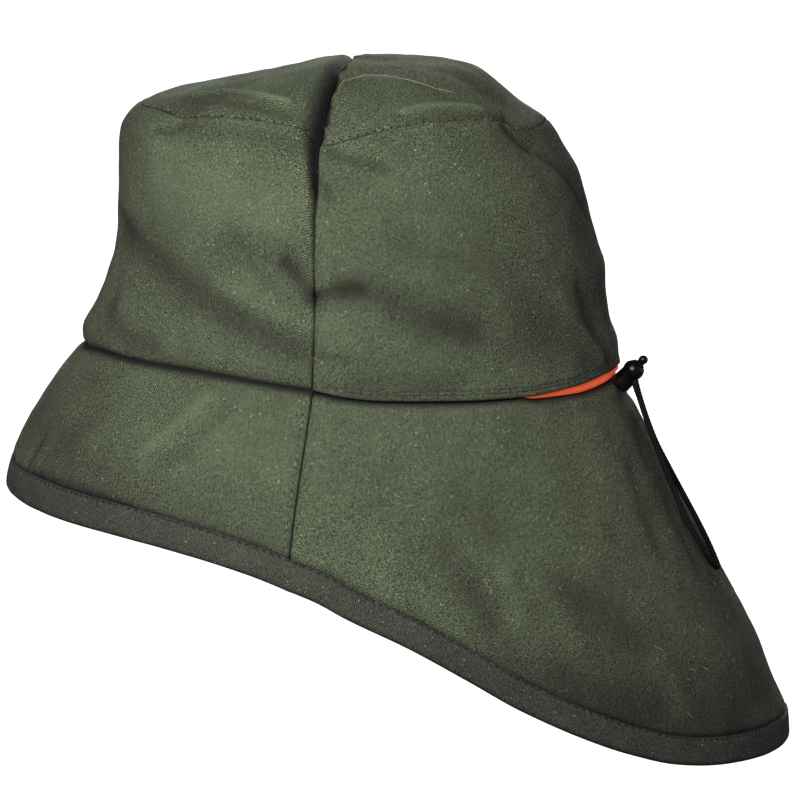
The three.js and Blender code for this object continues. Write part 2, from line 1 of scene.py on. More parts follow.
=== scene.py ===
# The looks of a waxed-cotton sou'wester hat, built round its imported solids. Metres, +Z up. The hat faces -Y,
# its wearer's left is +X, and the origin is the middle of the head opening.
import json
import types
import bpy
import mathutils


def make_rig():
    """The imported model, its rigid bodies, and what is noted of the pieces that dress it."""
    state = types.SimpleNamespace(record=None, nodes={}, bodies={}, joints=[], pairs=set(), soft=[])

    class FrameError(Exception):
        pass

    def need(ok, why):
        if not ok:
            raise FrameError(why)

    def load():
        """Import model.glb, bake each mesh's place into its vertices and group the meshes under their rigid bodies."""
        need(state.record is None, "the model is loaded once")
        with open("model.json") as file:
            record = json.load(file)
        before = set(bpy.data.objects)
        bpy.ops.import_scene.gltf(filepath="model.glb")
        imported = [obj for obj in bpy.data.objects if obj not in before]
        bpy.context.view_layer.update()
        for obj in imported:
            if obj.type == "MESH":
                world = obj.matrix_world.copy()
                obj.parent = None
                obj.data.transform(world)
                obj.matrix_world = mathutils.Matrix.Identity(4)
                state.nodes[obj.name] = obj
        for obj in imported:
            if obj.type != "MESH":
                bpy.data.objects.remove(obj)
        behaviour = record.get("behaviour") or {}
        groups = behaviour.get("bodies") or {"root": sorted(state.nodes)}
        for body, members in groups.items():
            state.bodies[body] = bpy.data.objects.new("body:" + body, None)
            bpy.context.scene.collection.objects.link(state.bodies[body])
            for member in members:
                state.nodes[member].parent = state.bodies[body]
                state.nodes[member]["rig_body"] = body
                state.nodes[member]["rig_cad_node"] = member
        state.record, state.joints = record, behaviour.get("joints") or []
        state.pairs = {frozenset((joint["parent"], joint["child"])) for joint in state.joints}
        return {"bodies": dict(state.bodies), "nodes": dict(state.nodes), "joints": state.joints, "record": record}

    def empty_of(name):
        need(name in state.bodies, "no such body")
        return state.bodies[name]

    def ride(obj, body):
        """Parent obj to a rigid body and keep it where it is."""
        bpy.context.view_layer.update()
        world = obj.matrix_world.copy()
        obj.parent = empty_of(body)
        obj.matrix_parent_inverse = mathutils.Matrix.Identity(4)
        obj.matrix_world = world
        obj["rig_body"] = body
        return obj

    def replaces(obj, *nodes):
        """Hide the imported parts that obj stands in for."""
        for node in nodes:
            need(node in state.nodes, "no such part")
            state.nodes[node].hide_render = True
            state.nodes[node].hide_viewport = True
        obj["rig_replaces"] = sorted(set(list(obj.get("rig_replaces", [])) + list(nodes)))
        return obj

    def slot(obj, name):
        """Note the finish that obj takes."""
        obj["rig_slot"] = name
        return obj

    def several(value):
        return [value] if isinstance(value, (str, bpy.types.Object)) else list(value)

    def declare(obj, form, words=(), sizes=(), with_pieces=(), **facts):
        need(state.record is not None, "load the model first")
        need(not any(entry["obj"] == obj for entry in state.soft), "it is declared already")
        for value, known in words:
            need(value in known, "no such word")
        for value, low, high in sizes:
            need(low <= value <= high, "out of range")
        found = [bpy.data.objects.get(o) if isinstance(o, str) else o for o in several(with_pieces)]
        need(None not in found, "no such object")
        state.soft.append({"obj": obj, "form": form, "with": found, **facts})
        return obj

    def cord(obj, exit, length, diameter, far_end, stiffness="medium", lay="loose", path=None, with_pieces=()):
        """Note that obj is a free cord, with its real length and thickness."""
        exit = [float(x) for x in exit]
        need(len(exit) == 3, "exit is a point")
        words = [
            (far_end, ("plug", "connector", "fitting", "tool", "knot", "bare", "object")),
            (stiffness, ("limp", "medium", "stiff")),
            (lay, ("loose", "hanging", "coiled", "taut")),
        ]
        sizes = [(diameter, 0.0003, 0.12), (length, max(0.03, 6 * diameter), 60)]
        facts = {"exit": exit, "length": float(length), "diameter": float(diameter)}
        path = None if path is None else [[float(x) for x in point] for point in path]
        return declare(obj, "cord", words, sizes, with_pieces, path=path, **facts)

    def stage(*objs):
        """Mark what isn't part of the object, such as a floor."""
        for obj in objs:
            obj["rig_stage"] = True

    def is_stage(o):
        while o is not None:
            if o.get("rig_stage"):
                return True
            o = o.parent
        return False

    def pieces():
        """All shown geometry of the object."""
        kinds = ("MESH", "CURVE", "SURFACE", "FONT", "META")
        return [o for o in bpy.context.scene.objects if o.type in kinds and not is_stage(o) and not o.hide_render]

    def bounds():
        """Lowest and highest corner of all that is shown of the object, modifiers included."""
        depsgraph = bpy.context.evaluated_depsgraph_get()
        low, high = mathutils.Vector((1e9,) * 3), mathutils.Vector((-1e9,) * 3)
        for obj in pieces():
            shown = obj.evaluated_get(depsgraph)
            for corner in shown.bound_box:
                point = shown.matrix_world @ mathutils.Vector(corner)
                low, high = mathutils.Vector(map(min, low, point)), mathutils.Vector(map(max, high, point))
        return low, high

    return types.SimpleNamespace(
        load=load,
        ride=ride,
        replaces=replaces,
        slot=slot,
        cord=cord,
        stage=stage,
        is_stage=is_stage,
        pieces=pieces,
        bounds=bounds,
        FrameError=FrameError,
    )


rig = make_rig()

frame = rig.load()

import json
import math

import bmesh
import bpy
import numpy as np
from mathutils import Vector

cad_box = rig.bounds()
MM = 0.001
rng = np.random.default_rng(7)

# Driving sizes, as in the solids
CROWN_FRONT = 102 * MM  # half length of the head opening, towards the brow
CROWN_REAR = 102 * MM  # towards the neck
CROWN_SIDE = 84 * MM  # half width of the head opening
TIP_HEIGHT = 95.5 * MM  # tip seam over the head opening
DOME_RISE = 17 * MM  # middle of the crown over the tip seam
HEM_FRONT = 130.5 * MM
HEM_REAR = 166.5 * MM
HEM_SIDE = 122 * MM
SEAM_FORWARD = 2.6 * MM  # lean of the side seam towards the brow
BRIM_DROP = 49 * MM
FLAP_DROP = 143 * MM
CLOTH = 1.2 * MM
HEM_CLOTH = 2.4 * MM  # the crown's doubled rear hem
HEM_DEPTH = 11 * MM
STRIP_CLOTH = 1.0 * MM
STRIP_WIDTH = 10.7 * MM
STRIP_RAISE = 0.5 * MM
BAND_CLOTH = 1.0 * MM
BAND_SHOW = 3.2 * MM
BAND_PUFF = 1.9 * MM
BAND_LIFT = 1.5 * MM
FLAP_TURN = 4 * MM  # height over which the flap comes out from under the hem
BRIM_TURN = 3.4 * MM  # the same for the front brim
BRIM_TUCK = 4 * MM
FOLD_DEPTH = 6.5 * MM
GAP = 0.3 * MM
SEAM_GAP = 0.04 * MM  # between panels that are sewn edge to edge
CORD_SIZE = 2.2 * MM
LOCK_BALL = 7.9 * MM
LOCK_BARREL = 7.6 * MM
LOCK_REACH = 8.4 * MM
LOCK_ANGLE = 173
LOCK_TILT = 47
LOCK_STAND = 1.5 * MM
LOCK_LEVEL = -7.6 * MM
PLUNGER_SIZE = 3.4 * MM
PLUNGER_BORE = 4.4 * MM
BORE_DEPTH = 8.0 * MM
PLUNGER_SHOWN = 3.2 * MM
PLUNGER_TRAVEL = 2.5 * MM

# Sewing
STITCH_PITCH = 3.1 * MM
STITCH_LENGTH = 2.1 * MM
THREAD = 0.42 * MM  # thickness of the sewing thread
HOLE_SIZE = 0.68 * MM  # half the length of a needle's dent
HOLE_HEIGHT = 0.13 * MM  # of the dark fleck, painted shade that stands for the dent
TIP_STITCH = 0.9 * MM  # from the tip seam to its row of stitches
SIDE_STITCH = 2.2 * MM  # from the side seam of the brim to its row
HEM_STITCH = 0.9 * MM  # from the strip's upper edge to its row
REAR_STITCHES = (2.3 * MM, 3.5 * MM)  # over the lower edge of the crown's rear hem


def table(columns, *rows):
    """A short table as a dictionary from column name to its values"""
    return dict(zip(columns.split(), np.array(rows, float).T))


# Shapes: the crown's wall and its outline, the lower edge, brim and flap, the tip, the inner band, and broad
# dents in the crown's wall
WALL = table(
    "rise front side rear",
    (0, 0.995, 1, 1), (0.1, 0.976, 0.994, 0.99), (0.2, 0.932, 0.982, 0.957), (0.3, 0.893, 0.972, 0.943),
    (0.4, 0.867, 0.966, 0.938), (0.5, 0.856, 0.96, 0.915), (0.6, 0.858, 0.952, 0.89),
    (0.7, 0.858, 0.94, 0.87), (0.8, 0.858, 0.922, 0.838), (0.9, 0.846, 0.89, 0.782),
    (0.95, 0.824, 0.868, 0.755), (1, 0.776, 0.833, 0.722),
)
ROUND = table(
    "angle root left right",
    (0, 0.098, 1.0, 1.0), (18, 0.104, 1.002, 1.0), (32, 0.127, 1.004, 1.0), (42, 0.113, 0.993, 0.998),
    (48, 0.106, 0.981, 0.996), (55, 0.099, 0.996, 0.995), (66, 0.078, 1.001, 0.992),
    (76, 0.041, 0.993, 0.985), (83, 0.012, 0.979, 0.968), (87.5, -0.008, 0.962, 0.952),
    (90, -0.02, 0.915, 0.912), (91.5, -0.031, 0.905, 0.903), (96, -0.065, 0.92, 0.915),
    (104, -0.092, 0.95, 0.945), (113, -0.102, 0.976, 0.96), (126, -0.112, 0.992, 0.972),
    (138, -0.112, 0.991, 0.962), (148, -0.092, 0.975, 0.95), (158, -0.066, 0.932, 0.935),
    (168, -0.042, 0.932, 0.935), (180, -0.031, 0.945, 0.945),
)
HEM = table(
    "angle fall",
    (0, 0), (27, 0.004), (53, 0.026), (65, 0.05), (75, 0.088), (83, 0.134), (89, 0.184), (93.5, 0.236),
    (97, 0.294), (105, 0.413), (112, 0.535), (119, 0.661), (128.5, 0.796), (135, 0.868), (143, 0.932),
    (152, 0.967), (163, 0.985), (180, 1),
)
SLOPE = table(
    "down brim flap",
    (0, 0, 0), (0.08, 0.1, 0.026), (0.126, 0.165, 0.087), (0.25, 0.34, 0.23), (0.395, 0.54, 0.403),
    (0.53, 0.712, 0.56), (0.652, 0.825, 0.708), (0.773, 0.914, 0.856), (0.853, 0.958, 0.922),
    (0.933, 0.988, 0.987), (1, 1, 1),
)
DOME = table(
    "out front side rear",
    (0, 0, 0, 0), (0.14, 0.05, 0.01, -0.06), (0.34, 0.25, 0.07, -0.03), (0.5, 0.4, 0.18, 0.03),
    (0.63, 0.53, 0.31, 0.13), (0.72, 0.61, 0.43, 0.3), (0.82, 0.72, 0.59, 0.56), (0.91, 0.84, 0.77, 0.79),
    (1, 1, 1, 1),
)
BAND = table(
    "angle shown",
    (90, 0), (132, 0), (140, 0.2), (149, 0.58), (158, 0.92), (166, 1), (180, 0.85),
)
FOLDS = table(
    "angle width rise height depth lean",
    (98, 11, 0.3, 0.09, 0.5, 60), (76, 6, 0.36, 0.1, 0.35, -50), (103, 9, 0.83, 0.07, 0.3, 40),
    (48, 16, 0.42, 0.16, 0.3, -30), (47, 7, 0.96, 0.1, 0.4, -60), (150, 10, 0.94, 0.1, 0.4, 40),
    (135, 18, 0.25, 0.16, 0.3, -40),
)

# The groove between the crown's halves. way runs from the middle of the dome (0) over the tip seam (1) down
# to the crown's lower edge (2). Its depth and the widths of its front and rear slopes are in millimetres.
GROOVE = table(
    "way depth front rear",
    (0, 1.9, 4.8, 2.6), (0.3, 3.2, 5.6, 2.8), (0.7, 4.4, 6.6, 2.6), (0.95, 5.4, 7, 1.8), (1, 5.6, 6.8, 1.4),
    (1.1, 4.4, 5, 1.2), (1.18, 2.6, 3.2, 1.1), (1.26, 1.3, 2, 1), (1.5, 0.5, 1.4, 0.8), (2, 0.4, 1.2, 0.8),
)

# Soft folds, as lines on a part: how wide and deep they are in millimetres (ridges are negative), how much
# painted shade they take (ridges take a painted highlight, negative), and the angle and place of each point. They
# lie on the wearer's left, and fainter on the right.
CROWN_FOLDS = (
    (3.4, 0.9, 0.32, ((54, 0.955), (64, 0.95), (75, 0.942), (85, 0.935))),
    (1.4, 1.2, 0.5, ((41, 0.93), (46, 0.935), (50, 0.967))),
    (6.5, 2.1, 0.52, ((20, 0.5), (36, 0.42), (50, 0.352), (60, 0.29), (68, 0.239), (80, 0.172), (87, 0.152))),
    (4.5, 1.2, 0.4, ((28, 0.2), (33, 0.12), (42, 0.09), (52, 0.07))),
    (3.4, 1.5, 0.55, ((83, 0.47), (86, 0.43), (89.5, 0.372))),
    (7, 0.8, 0.25, ((70, 0.52), (78, 0.5), (84, 0.46))),
    (3.6, -1.0, -0.15, ((66, 0.33), (76, 0.29), (84, 0.245), (89, 0.235))),
    (16, -1.2, -0.18, ((48, 0.75), (65, 0.7), (76, 0.58))),
    (3.6, 1.4, 0.4, ((91, 0.375), (95.5, 0.41), (100, 0.415))),
    (6.5, 1.6, 0.42, ((98, 0.42), (104, 0.385), (109, 0.33), (116, 0.285), (125.5, 0.25))),
    (9, 0.8, 0.25, ((120, 0.26), (134, 0.2), (146, 0.17))),
    (5, 0.8, 0.3, ((98, 0.045), (108, 0.05), (120, 0.055))),
    (2, 0.6, 0.3, ((92, 0.16), (97, 0.15))),
    (4, -0.9, -0.12, ((92, 0.27), (98, 0.33), (104, 0.32))),
    (6, 0.8, 0.15, ((112, 0.57), (122, 0.5))),
    (2.2, 1.2, 0.45, ((93, 0.975), (97, 0.94), (102, 0.897), (107, 0.86))),
    (1.6, 1.6, 0.5, ((148, 0.985), (153, 0.955), (158, 0.925))),
    (3, 1.3, 0.3, ((160, 0.93), (166, 0.85), (172, 0.75), (176, 0.66))),
    (8, 1.2, 0.25, ((130, 0.5), (141, 0.33), (150, 0.2), (158, 0.1))),
    (3.5, -1.0, -0.15, ((152, 0.34), (160, 0.2), (166, 0.08))),
    (4, 1.2, 0.3, ((161, 0.36), (171, 0.03))),
    (17, 0.4, 0.3, ((172, 0.88), (170, 0.5), (166, 0.1))),
    (1.5, 1.0, 0.5, ((90.8, 0.86), (92.5, 0.83), (93.5, 0.79))),
)
TIP_FOLDS = (
    (1.6, -1.1, -0.45, ((35, 0.82), (40, 0.74), (46, 0.71), (59, 0.77), (71, 0.82), (78, 0.84))),
    (2.6, 0.9, 0.3, ((52, 0.86), (66, 0.9), (80, 0.93))),
    (1.6, -1.0, -0.34, ((116, 0.9), (126, 0.885), (134, 0.89), (143, 0.92))),
    (2.4, 0.7, 0.2, ((118, 0.97), (130, 0.955), (142, 0.965))),
    (1.8, 1.7, 0.5, ((146, 0.99), (152, 0.97), (157, 0.93))),
    (6, 0.8, 0.25, ((150, 0.6), (158, 0.75), (164, 0.85))),
    (9, 0.9, 0.3, ((20, 0.35), (32, 0.6), (44, 0.9))),
    (1.4, -0.6, -0.2, ((100, 0.45), (108, 0.55), (120, 0.6))),
)
BRIM_FOLDS = (
    (2.6, -0.8, -0.2, ((60, 0.62), (65, 0.38), (69, 0.14))),
    (3, 0.7, 0.15, ((66, 0.62), (71, 0.38), (74, 0.16))),
    (1.6, 1.5, 0.6, ((30, 0.72), (29, 0.84), (28, 0.97))),
    (1.4, -0.9, -0.25, ((34, 0.76), (33, 0.88), (32, 0.97))),
    (3, 0.8, 0.3, ((31, 0.99), (40, 0.975), (50, 0.985), (60, 1.02))),
    (13, 0.8, 0.32, ((20, 0.6), (38, 0.75), (56, 0.93), (84, 0.97))),
    (8, 0.5, 0.2, ((36, 0.2), (44, 0.4), (40, 0.6))),
    (9, -0.6, -0.12, ((72, 0.35), (84, 0.5))),
)
FLAP_FOLDS = (
    (6, 0.9, 0.35, ((112, 0.58), (114, 0.7), (117, 0.82))),
    (5, -0.9, -0.22, ((121, 0.6), (121.5, 0.76))),
    (9, 1.2, 0.42, ((132, 0.62), (137, 0.63), (142, 0.7))),
    (5, -0.7, -0.18, ((127, 0.62), (129, 0.74), (131, 0.86))),
    (4.5, -0.8, -0.2, ((145, 0.78), (146, 0.92))),
    (7, 0.8, 0.2, ((116, 0.36), (121, 0.44))),
    (11, 0.6, 0.4, ((158, 0.97), (146, 0.98), (132, 0.97), (118, 0.97))),
    (20, 0.5, 0.36, ((170, 0.92), (158, 0.86), (146, 0.84), (135, 0.9))),
    (14, 0.3, 0.3, ((176, 0.1), (172, 0.4), (170, 0.7))),
    (1.4, -0.5, -0.12, ((177, 0.1), (176.5, 0.3), (176, 0.5), (177, 0.7))),
    (4, 0.6, 0.14, ((171, 0.14), (170, 0.34), (169, 0.52))),
    (5, 0.8, 0.2, ((160, 0.25), (158, 0.45))),
    (15, 0.3, 0.16, ((124, 0.66), (127, 0.84))),
)

# Route of the drawcord's loop, in millimetres, from one side of the lock round to the other
CORD_ROUTE = (
    (12.5, 108.7, -4.4), (12.7, 109.3, -7.2), (12.2, 110.9, -12.0), (11.6, 113.5, -20.0),
    (11.2, 117.8, -31.5), (11.6, 123.3, -44.8), (12.9, 128.7, -57.0), (12.6, 133.7, -65.6),
    (10.0, 137.3, -72.2), (6.6, 139.4, -75.6), (3.4, 139.8, -76.0), (1.2, 138.3, -73.0),
    (0.2, 135.4, -67.0), (0.6, 131.4, -59.0), (2.0, 126.2, -49.0), (3.9, 121.1, -39.0), (6.0, 116.3, -29.0),
    (8.0, 112.7, -19.0), (9.6, 110.5, -11.5), (10.3, 109.4, -7.2), (10.6, 108.8, -4.4),
)


# Camera, at the photograph's angle to the hat
CAMERA_AZIMUTH = 99
CAMERA_ELEVATION = 9
CAMERA_DISTANCE = 1.8
CAMERA_TARGET = Vector((0, 18.7 * MM, -16.8 * MM))
PIXELS_PER_METRE = 2650  # at the target
IMAGE_WIDTH = 800
SENSOR = 36


def towards(azimuth, elevation):
    """Direction from the hat to something that stands at an azimuth and elevation"""
    a, e = math.radians(azimuth), math.radians(elevation)
    return Vector((math.sin(a) * math.cos(e), -math.cos(a) * math.cos(e), math.sin(e)))


def add_object(name, data):
    made = bpy.data.objects.new(name, data)
    bpy.context.scene.collection.objects.link(made)
    return made


def add_camera():
    camera = add_object("camera", bpy.data.cameras.new("camera"))
    back = towards(CAMERA_AZIMUTH, CAMERA_ELEVATION)
    camera.location = CAMERA_TARGET + back * CAMERA_DISTANCE
    camera.rotation_mode = "QUATERNION"
    camera.rotation_quaternion = (-back).to_track_quat("-Z", "Y")
    camera.data.sensor_width = SENSOR
    camera.data.lens = SENSOR * PIXELS_PER_METRE * CAMERA_DISTANCE / IMAGE_WIDTH
    camera.data.clip_start = 0.05
    camera.data.clip_end = 100
    bpy.context.scene.camera = camera


# Materials
def new_material(name):
    """A new node material: functions that add a node, calculate, mix colours and feed the shader"""
    material = bpy.data.materials.new(name)
    material.use_nodes = True
    tree = material.node_tree

    def feed(socket, value):
        """Links a socket to another one, or sets it to a constant"""
        if isinstance(value, bpy.types.NodeSocket):
            tree.links.new(value, socket)
        else:
            socket.default_value = (*value, 1) if socket.type == "RGBA" else value

    def node(kind, *values, out=0, **settings):
        """One output of a new node, or all where out is None. values feed its inputs, settings name them."""
        made = tree.nodes.new("ShaderNode" + kind)
        for key, value in settings.items():
            if key.replace("_", " ") in made.inputs:
                feed(made.inputs[key.replace("_", " ")], value)
            else:
                setattr(made, key, value)
        for socket, value in zip(made.inputs, values):
            feed(socket, value)
        return made.outputs if out is None else made.outputs[out]

    def maths(operation, *values):
        return node("Math", *values, operation=operation)

    def mix(factor, a, b):
        """Colour a where factor is 0 and colour b where it is 1"""
        made = tree.nodes.new("ShaderNodeMix")
        made.data_type = "RGBA"
        for place, value in ((0, factor), (6, a), (7, b)):
            feed(made.inputs[place], value)
        return made.outputs[2]

    def surface(**inputs):
        for key, value in inputs.items():
            feed(tree.nodes["Principled BSDF"].inputs[key.replace("_", " ")], value)
        return material

    return node, maths, mix, surface


def cloth_material(name, dark, light, lint, deep, twill_lean=1, lint_share=0.5, glow=0):
    """Waxed cotton: fine twill and grain, blotches of wax, pale lint, the painted shade and painted highlight that the
    mesh carries in its shade attribute, and a painted glow, light that the cloth gives off of itself
    """
    node, maths, mix, surface = new_material(name)
    place = node("TexCoord", out="Object")
    lean = node("Mapping", node("UVMap", uv_map="cloth"), Rotation=(0, 0, math.radians(45 * twill_lean)))
    stretched = node("Mapping", lean, Scale=(2.6, 0.9, 1))
    yarn = node("TexNoise", stretched, Scale=1.0, Detail=2.0, Roughness=0.6)
    slanted = node("Mapping", place, Rotation=(0.6, 0.9, 0.4))
    grain = node("TexNoise", slanted, Scale=1 / (0.58 * MM), Detail=1.5, Roughness=0.6)
    twill = node("TexWave", lean, out="Fac", Scale=0.42, Distortion=1.2, Detail=2.0, Detail_Scale=1.2)
    blotch = node("TexNoise", place, Scale=1 / (18 * MM), Detail=5.0, Roughness=0.6)
    weave = maths("ADD", maths("MULTIPLY_ADD", grain, 3.7, -1.85), maths("MULTIPLY_ADD", yarn, 3.0, -1.5))
    weave = maths("ADD", weave, maths("MULTIPLY_ADD", twill, 0.9, -0.45))
    tone = maths("ADD", weave, maths("MULTIPLY_ADD", blotch, 0.7, 0.15))
    colour = mix(node("Clamp", tone), dark, light)
    for size, radius, share in ((2.6, 0.15, lint_share), (1.2, 0.22, lint_share * 0.6)):
        cells = node("TexVoronoi", slanted, out=None, Scale=1 / (size * MM))
        near = node("MapRange", cells["Distance"], From_Min=radius, From_Max=radius * 0.35)
        split = node("SeparateColor", cells["Color"], out=None)
        speck = maths("MULTIPLY", near, maths("LESS_THAN", split[0], share))
        colour = mix(maths("MULTIPLY", speck, split[1]), colour, lint)
    # The shade attribute is painted light: below zero it mixes in painted shade, above zero a paler painted highlight
    shade = node("Attribute", attribute_name="shade", out="Fac")
    for scale, target in ((-1, deep), (1, [c * 1.6 for c in light])):
        colour = mix(node("Clamp", maths("MULTIPLY", shade, scale)), colour, target)
    height = maths("ADD", weave, maths("MULTIPLY", blotch, 2.0))
    # The painted glow is light that the cloth gives off of itself, though it is no lamp
    return surface(Base_Color=colour, Roughness=maths("MULTIPLY_ADD", blotch, -0.25, 0.9),
                   Specular_IOR_Level=0.1, Emission_Color=light, Emission_Strength=glow,
                   Normal=node("Bump", Strength=0.7, Distance=0.12 * MM, Height=height))


def plain_material(name, colour, roughness, grain_size, bump_height, variation=0.2, shine=0.5):
    """A surface with a fine grain: its colour varies a little and its roughness and height with it"""
    node, maths, mix, surface = new_material(name)
    place = node("TexCoord", out="Object")
    grain = node("TexNoise", place, Scale=1 / grain_size, Detail=4.0, Roughness=0.65)
    low = [c * (1 - variation) for c in colour]
    high = [min(c * (1 + variation), 1) for c in colour]
    return surface(Base_Color=mix(grain, low, high), Specular_IOR_Level=shine,
                   Roughness=maths("MULTIPLY_ADD", grain, 0.16, roughness - 0.08),
                   Normal=node("Bump", Strength=0.6, Distance=bump_height, Height=grain))


def thread_material(name, low, high):
    """Sewing thread: twisted, and a little paler at some stitches"""
    node, maths, mix, surface = new_material(name)
    tone = node("Attribute", attribute_name="tone", out="Fac")
    twist = node("TexNoise", node("TexCoord", out="Object"), Scale=6000, Detail=2.0)
    colour = mix(node("MapRange", tone, From_Min=0.6, From_Max=1.0), low, high)
    colour = mix(maths("MULTIPLY_ADD", twist, 0.8, -0.2), colour, [c * 0.6 for c in low])
    return surface(Base_Color=colour, Roughness=0.6,
                   Normal=node("Bump", Strength=0.5, Distance=0.05 * MM, Height=twist))


# Mesh making
def between_rows(rows, columns, first=0, closed_rows=False, closed_columns=True):
    """Faces between rows of corners that are numbered from first on"""
    faces = []
    for r in range(rows if closed_rows else rows - 1):
        here, below = first + r * columns, first + (r + 1) % rows * columns
        for c in range(columns if closed_columns else columns - 1):
            right = (c + 1) % columns
            faces.append((here + c, here + right, below + right, below + c))
    return faces


def circle(centre, across, up, sides):
    """Corners round a centre, across and up being two radii"""
    turn = 2 * math.pi * np.arange(sides)[:, None] / sides
    return list(centre + np.cos(turn) * across + np.sin(turn) * up)


def tube_faces(rings, sides, first=0):
    """Faces of a tube with both ends closed"""
    last = first + (rings - 1) * sides
    ends = [list(range(first, first + sides))[::-1], list(range(last, last + sides))]
    return between_rows(rings, sides, first) + ends


def new_object(name, vertices, faces, material, smooth_to=50, body="hat", uv=None, **painted):
    """A piece of the hat. uv is each corner's place on the cloth in millimetres, painted its other values."""
    mesh = bpy.data.meshes.new(name)
    mesh.from_pydata([tuple(v) for v in vertices], [], faces)
    mesh.materials.append(material)
    made = add_object(name, mesh)
    mesh.shade_smooth()
    mesh.set_sharp_from_angle(angle=math.radians(smooth_to))
    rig.ride(made, body)
    if uv is not None:
        layer = mesh.uv_layers.new(name="cloth")
        corners = np.zeros(len(mesh.loops), int)
        mesh.loops.foreach_get("vertex_index", corners)
        layer.data.foreach_set("uv", uv.reshape(-1, 2)[corners].astype(np.float32).ravel())
    for key, values in painted.items():
        data = mesh.attributes.new(key, "FLOAT", "POINT").data
        data.foreach_set("value", np.asarray(values, np.float32).ravel())
    # Corners that coincide are merged, and every face is turned outwards
    shape = bmesh.new()
    shape.from_mesh(mesh)
    bmesh.ops.remove_doubles(shape, verts=shape.verts, dist=1e-7)
    bmesh.ops.dissolve_degenerate(shape, edges=shape.edges, dist=1e-8)
    bmesh.ops.recalc_face_normals(shape, faces=shape.faces)
    shape.to_mesh(mesh)
    shape.free()
    return made


# Lines and directions
def unit(vector):
    return vector / np.maximum(np.linalg.norm(vector, axis=-1, keepdims=True), 1e-15)


def length_along(line):
    """Length from the start of a line to each of its points"""
    steps = np.linalg.norm(np.diff(line, axis=0), axis=-1)
    return np.concatenate([np.zeros((1, *steps.shape[1:])), np.cumsum(steps, axis=0)])


def point_on(line, length, distance):
    return np.stack([np.interp(distance, length, line[:, k]) for k in range(3)], -1)


# Smooth readings of the tables
def reading(at, value):
    """A smooth curve through the values at some places, to be read at any place"""
    step = np.diff(value) / np.diff(at)
    rising = step[:-1] * step[1:] > 0
    total = np.where(rising, step[:-1] + step[1:], 1)
    slope = np.concatenate([step[:1], np.where(rising, 2 * step[:-1] * step[1:] / total, 0), step[-1:]])

    def read(place):
        x = np.clip(place, at[0], at[-1])
        i = np.clip(np.searchsorted(at, x, side="right") - 1, 0, len(at) - 2)
        width = at[i + 1] - at[i]
        s = (x - at[i]) / width
        rest = 1 - s
        return (value[i] * rest * rest * (1 + 2 * s) + value[i + 1] * s * s * (3 - 2 * s)
                + width * s * rest * (slope[i] * rest - slope[i + 1] * s))

    return read


def readings(rows):
    """A smooth curve for each column of a table, along its first one"""
    at, *columns = rows.values()
    return [reading(at, column) for column in columns]


def smooth(start, stop, x):
    s = np.clip((x - start) / (stop - start), 0, 1)
    return s * s * (3 - 2 * s)


wall_front, wall_side, wall_rear = readings(WALL)
root_share, tip_left, tip_right = readings(ROUND)
(hem_share,) = readings(HEM)
brim_slope, flap_slope = readings(SLOPE)
dome_front, dome_side, dome_rear = readings(DOME)
groove_depth, groove_front, groove_rear = readings(GROOVE)
(band_share,) = readings(BAND)


def folded(angle):
    return np.where(np.abs(angle) > 180, 360 - np.abs(angle), np.abs(angle))


def across(angle):
    return np.sin(np.radians(angle))


def along(angle):
    return -np.cos(np.radians(angle))


def root_level(angle):
    return root_share(folded(angle)) * BRIM_DROP


def tip_level(angle):
    turned = folded(angle)
    return np.where(across(angle) < 0, tip_right(turned), tip_left(turned)) * TIP_HEIGHT


def hem_level(angle):
    return -BRIM_DROP - hem_share(folded(angle)) * (FLAP_DROP - BRIM_DROP)


def on_oval(angle, front, rear, side, level):
    reach = np.where(along(angle) < 0, front, rear)
    x, y, z = np.broadcast_arrays(side * across(angle), reach * along(angle), level)
    return np.stack([x, y, z], -1)


def outward(angle):
    return unit(on_oval(angle, 1 / CROWN_FRONT, 1 / CROWN_REAR, 1 / CROWN_SIDE, 0.0))


def hollows(rows, angle, rise):
    """Sum of a table's folds at a place, hollows positive"""
    total = 0
    for turn_at, width, up_at, height, depth, lean in zip(*rows.values()):
        turn = (folded(angle) - turn_at - lean * (rise - up_at)) / width
        up = (rise - up_at) / height
        total = total + depth * np.exp(-turn * turn - up * up)
    return total


def crown_point(angle, rise):
    level = root_level(angle) + (tip_level(angle) - root_level(angle)) * rise
    point = on_oval(angle, CROWN_FRONT * wall_front(rise), CROWN_REAR * wall_rear(rise),
                    CROWN_SIDE * wall_side(rise), level)
    ends = smooth(0, 0.12, rise) * smooth(1, 0.93, rise)
    return point - outward(angle) * (hollows(FOLDS, angle, rise) * FOLD_DEPTH * ends)[..., None]


def rise_at(angle, level):
    return (level - root_level(angle)) / (tip_level(angle) - root_level(angle))


def dome_point(angle, out):
    point = on_oval(angle, CROWN_FRONT * wall_front(1) * out, CROWN_REAR * wall_rear(1) * out,
                    CROWN_SIDE * wall_side(1) * out, 0 * out)
    lengthways = along(angle) ** 2
    end = np.where(along(angle) < 0, dome_front(out), dome_rear(out))
    fall = end * lengthways + dome_side(out) * (1 - lengthways)
    middle = TIP_HEIGHT + DOME_RISE
    point[..., 2] = middle - (middle - tip_level(angle)) * fall
    return point


def slope_top(angle):
    """Level at which the slope of brim and flap begins"""
    return np.maximum(root_level(angle), 0) * (1 - smooth(84, 96, folded(angle)))


def slope_point(angle, down):
    turn = smooth(50, 125, folded(angle))
    way = brim_slope(down) * (1 - turn) + flap_slope(down) * turn
    front, rear, side = (inner + (hem - inner) * way for inner, hem in
                         ((CROWN_FRONT, HEM_FRONT), (CROWN_REAR, HEM_REAR), (CROWN_SIDE, HEM_SIDE)))
    top = slope_top(angle)
    point = on_oval(angle, front, rear, side, top + (hem_level(angle) - top) * down)
    point[..., 1] -= SEAM_FORWARD * down * across(angle) ** 4
    return point


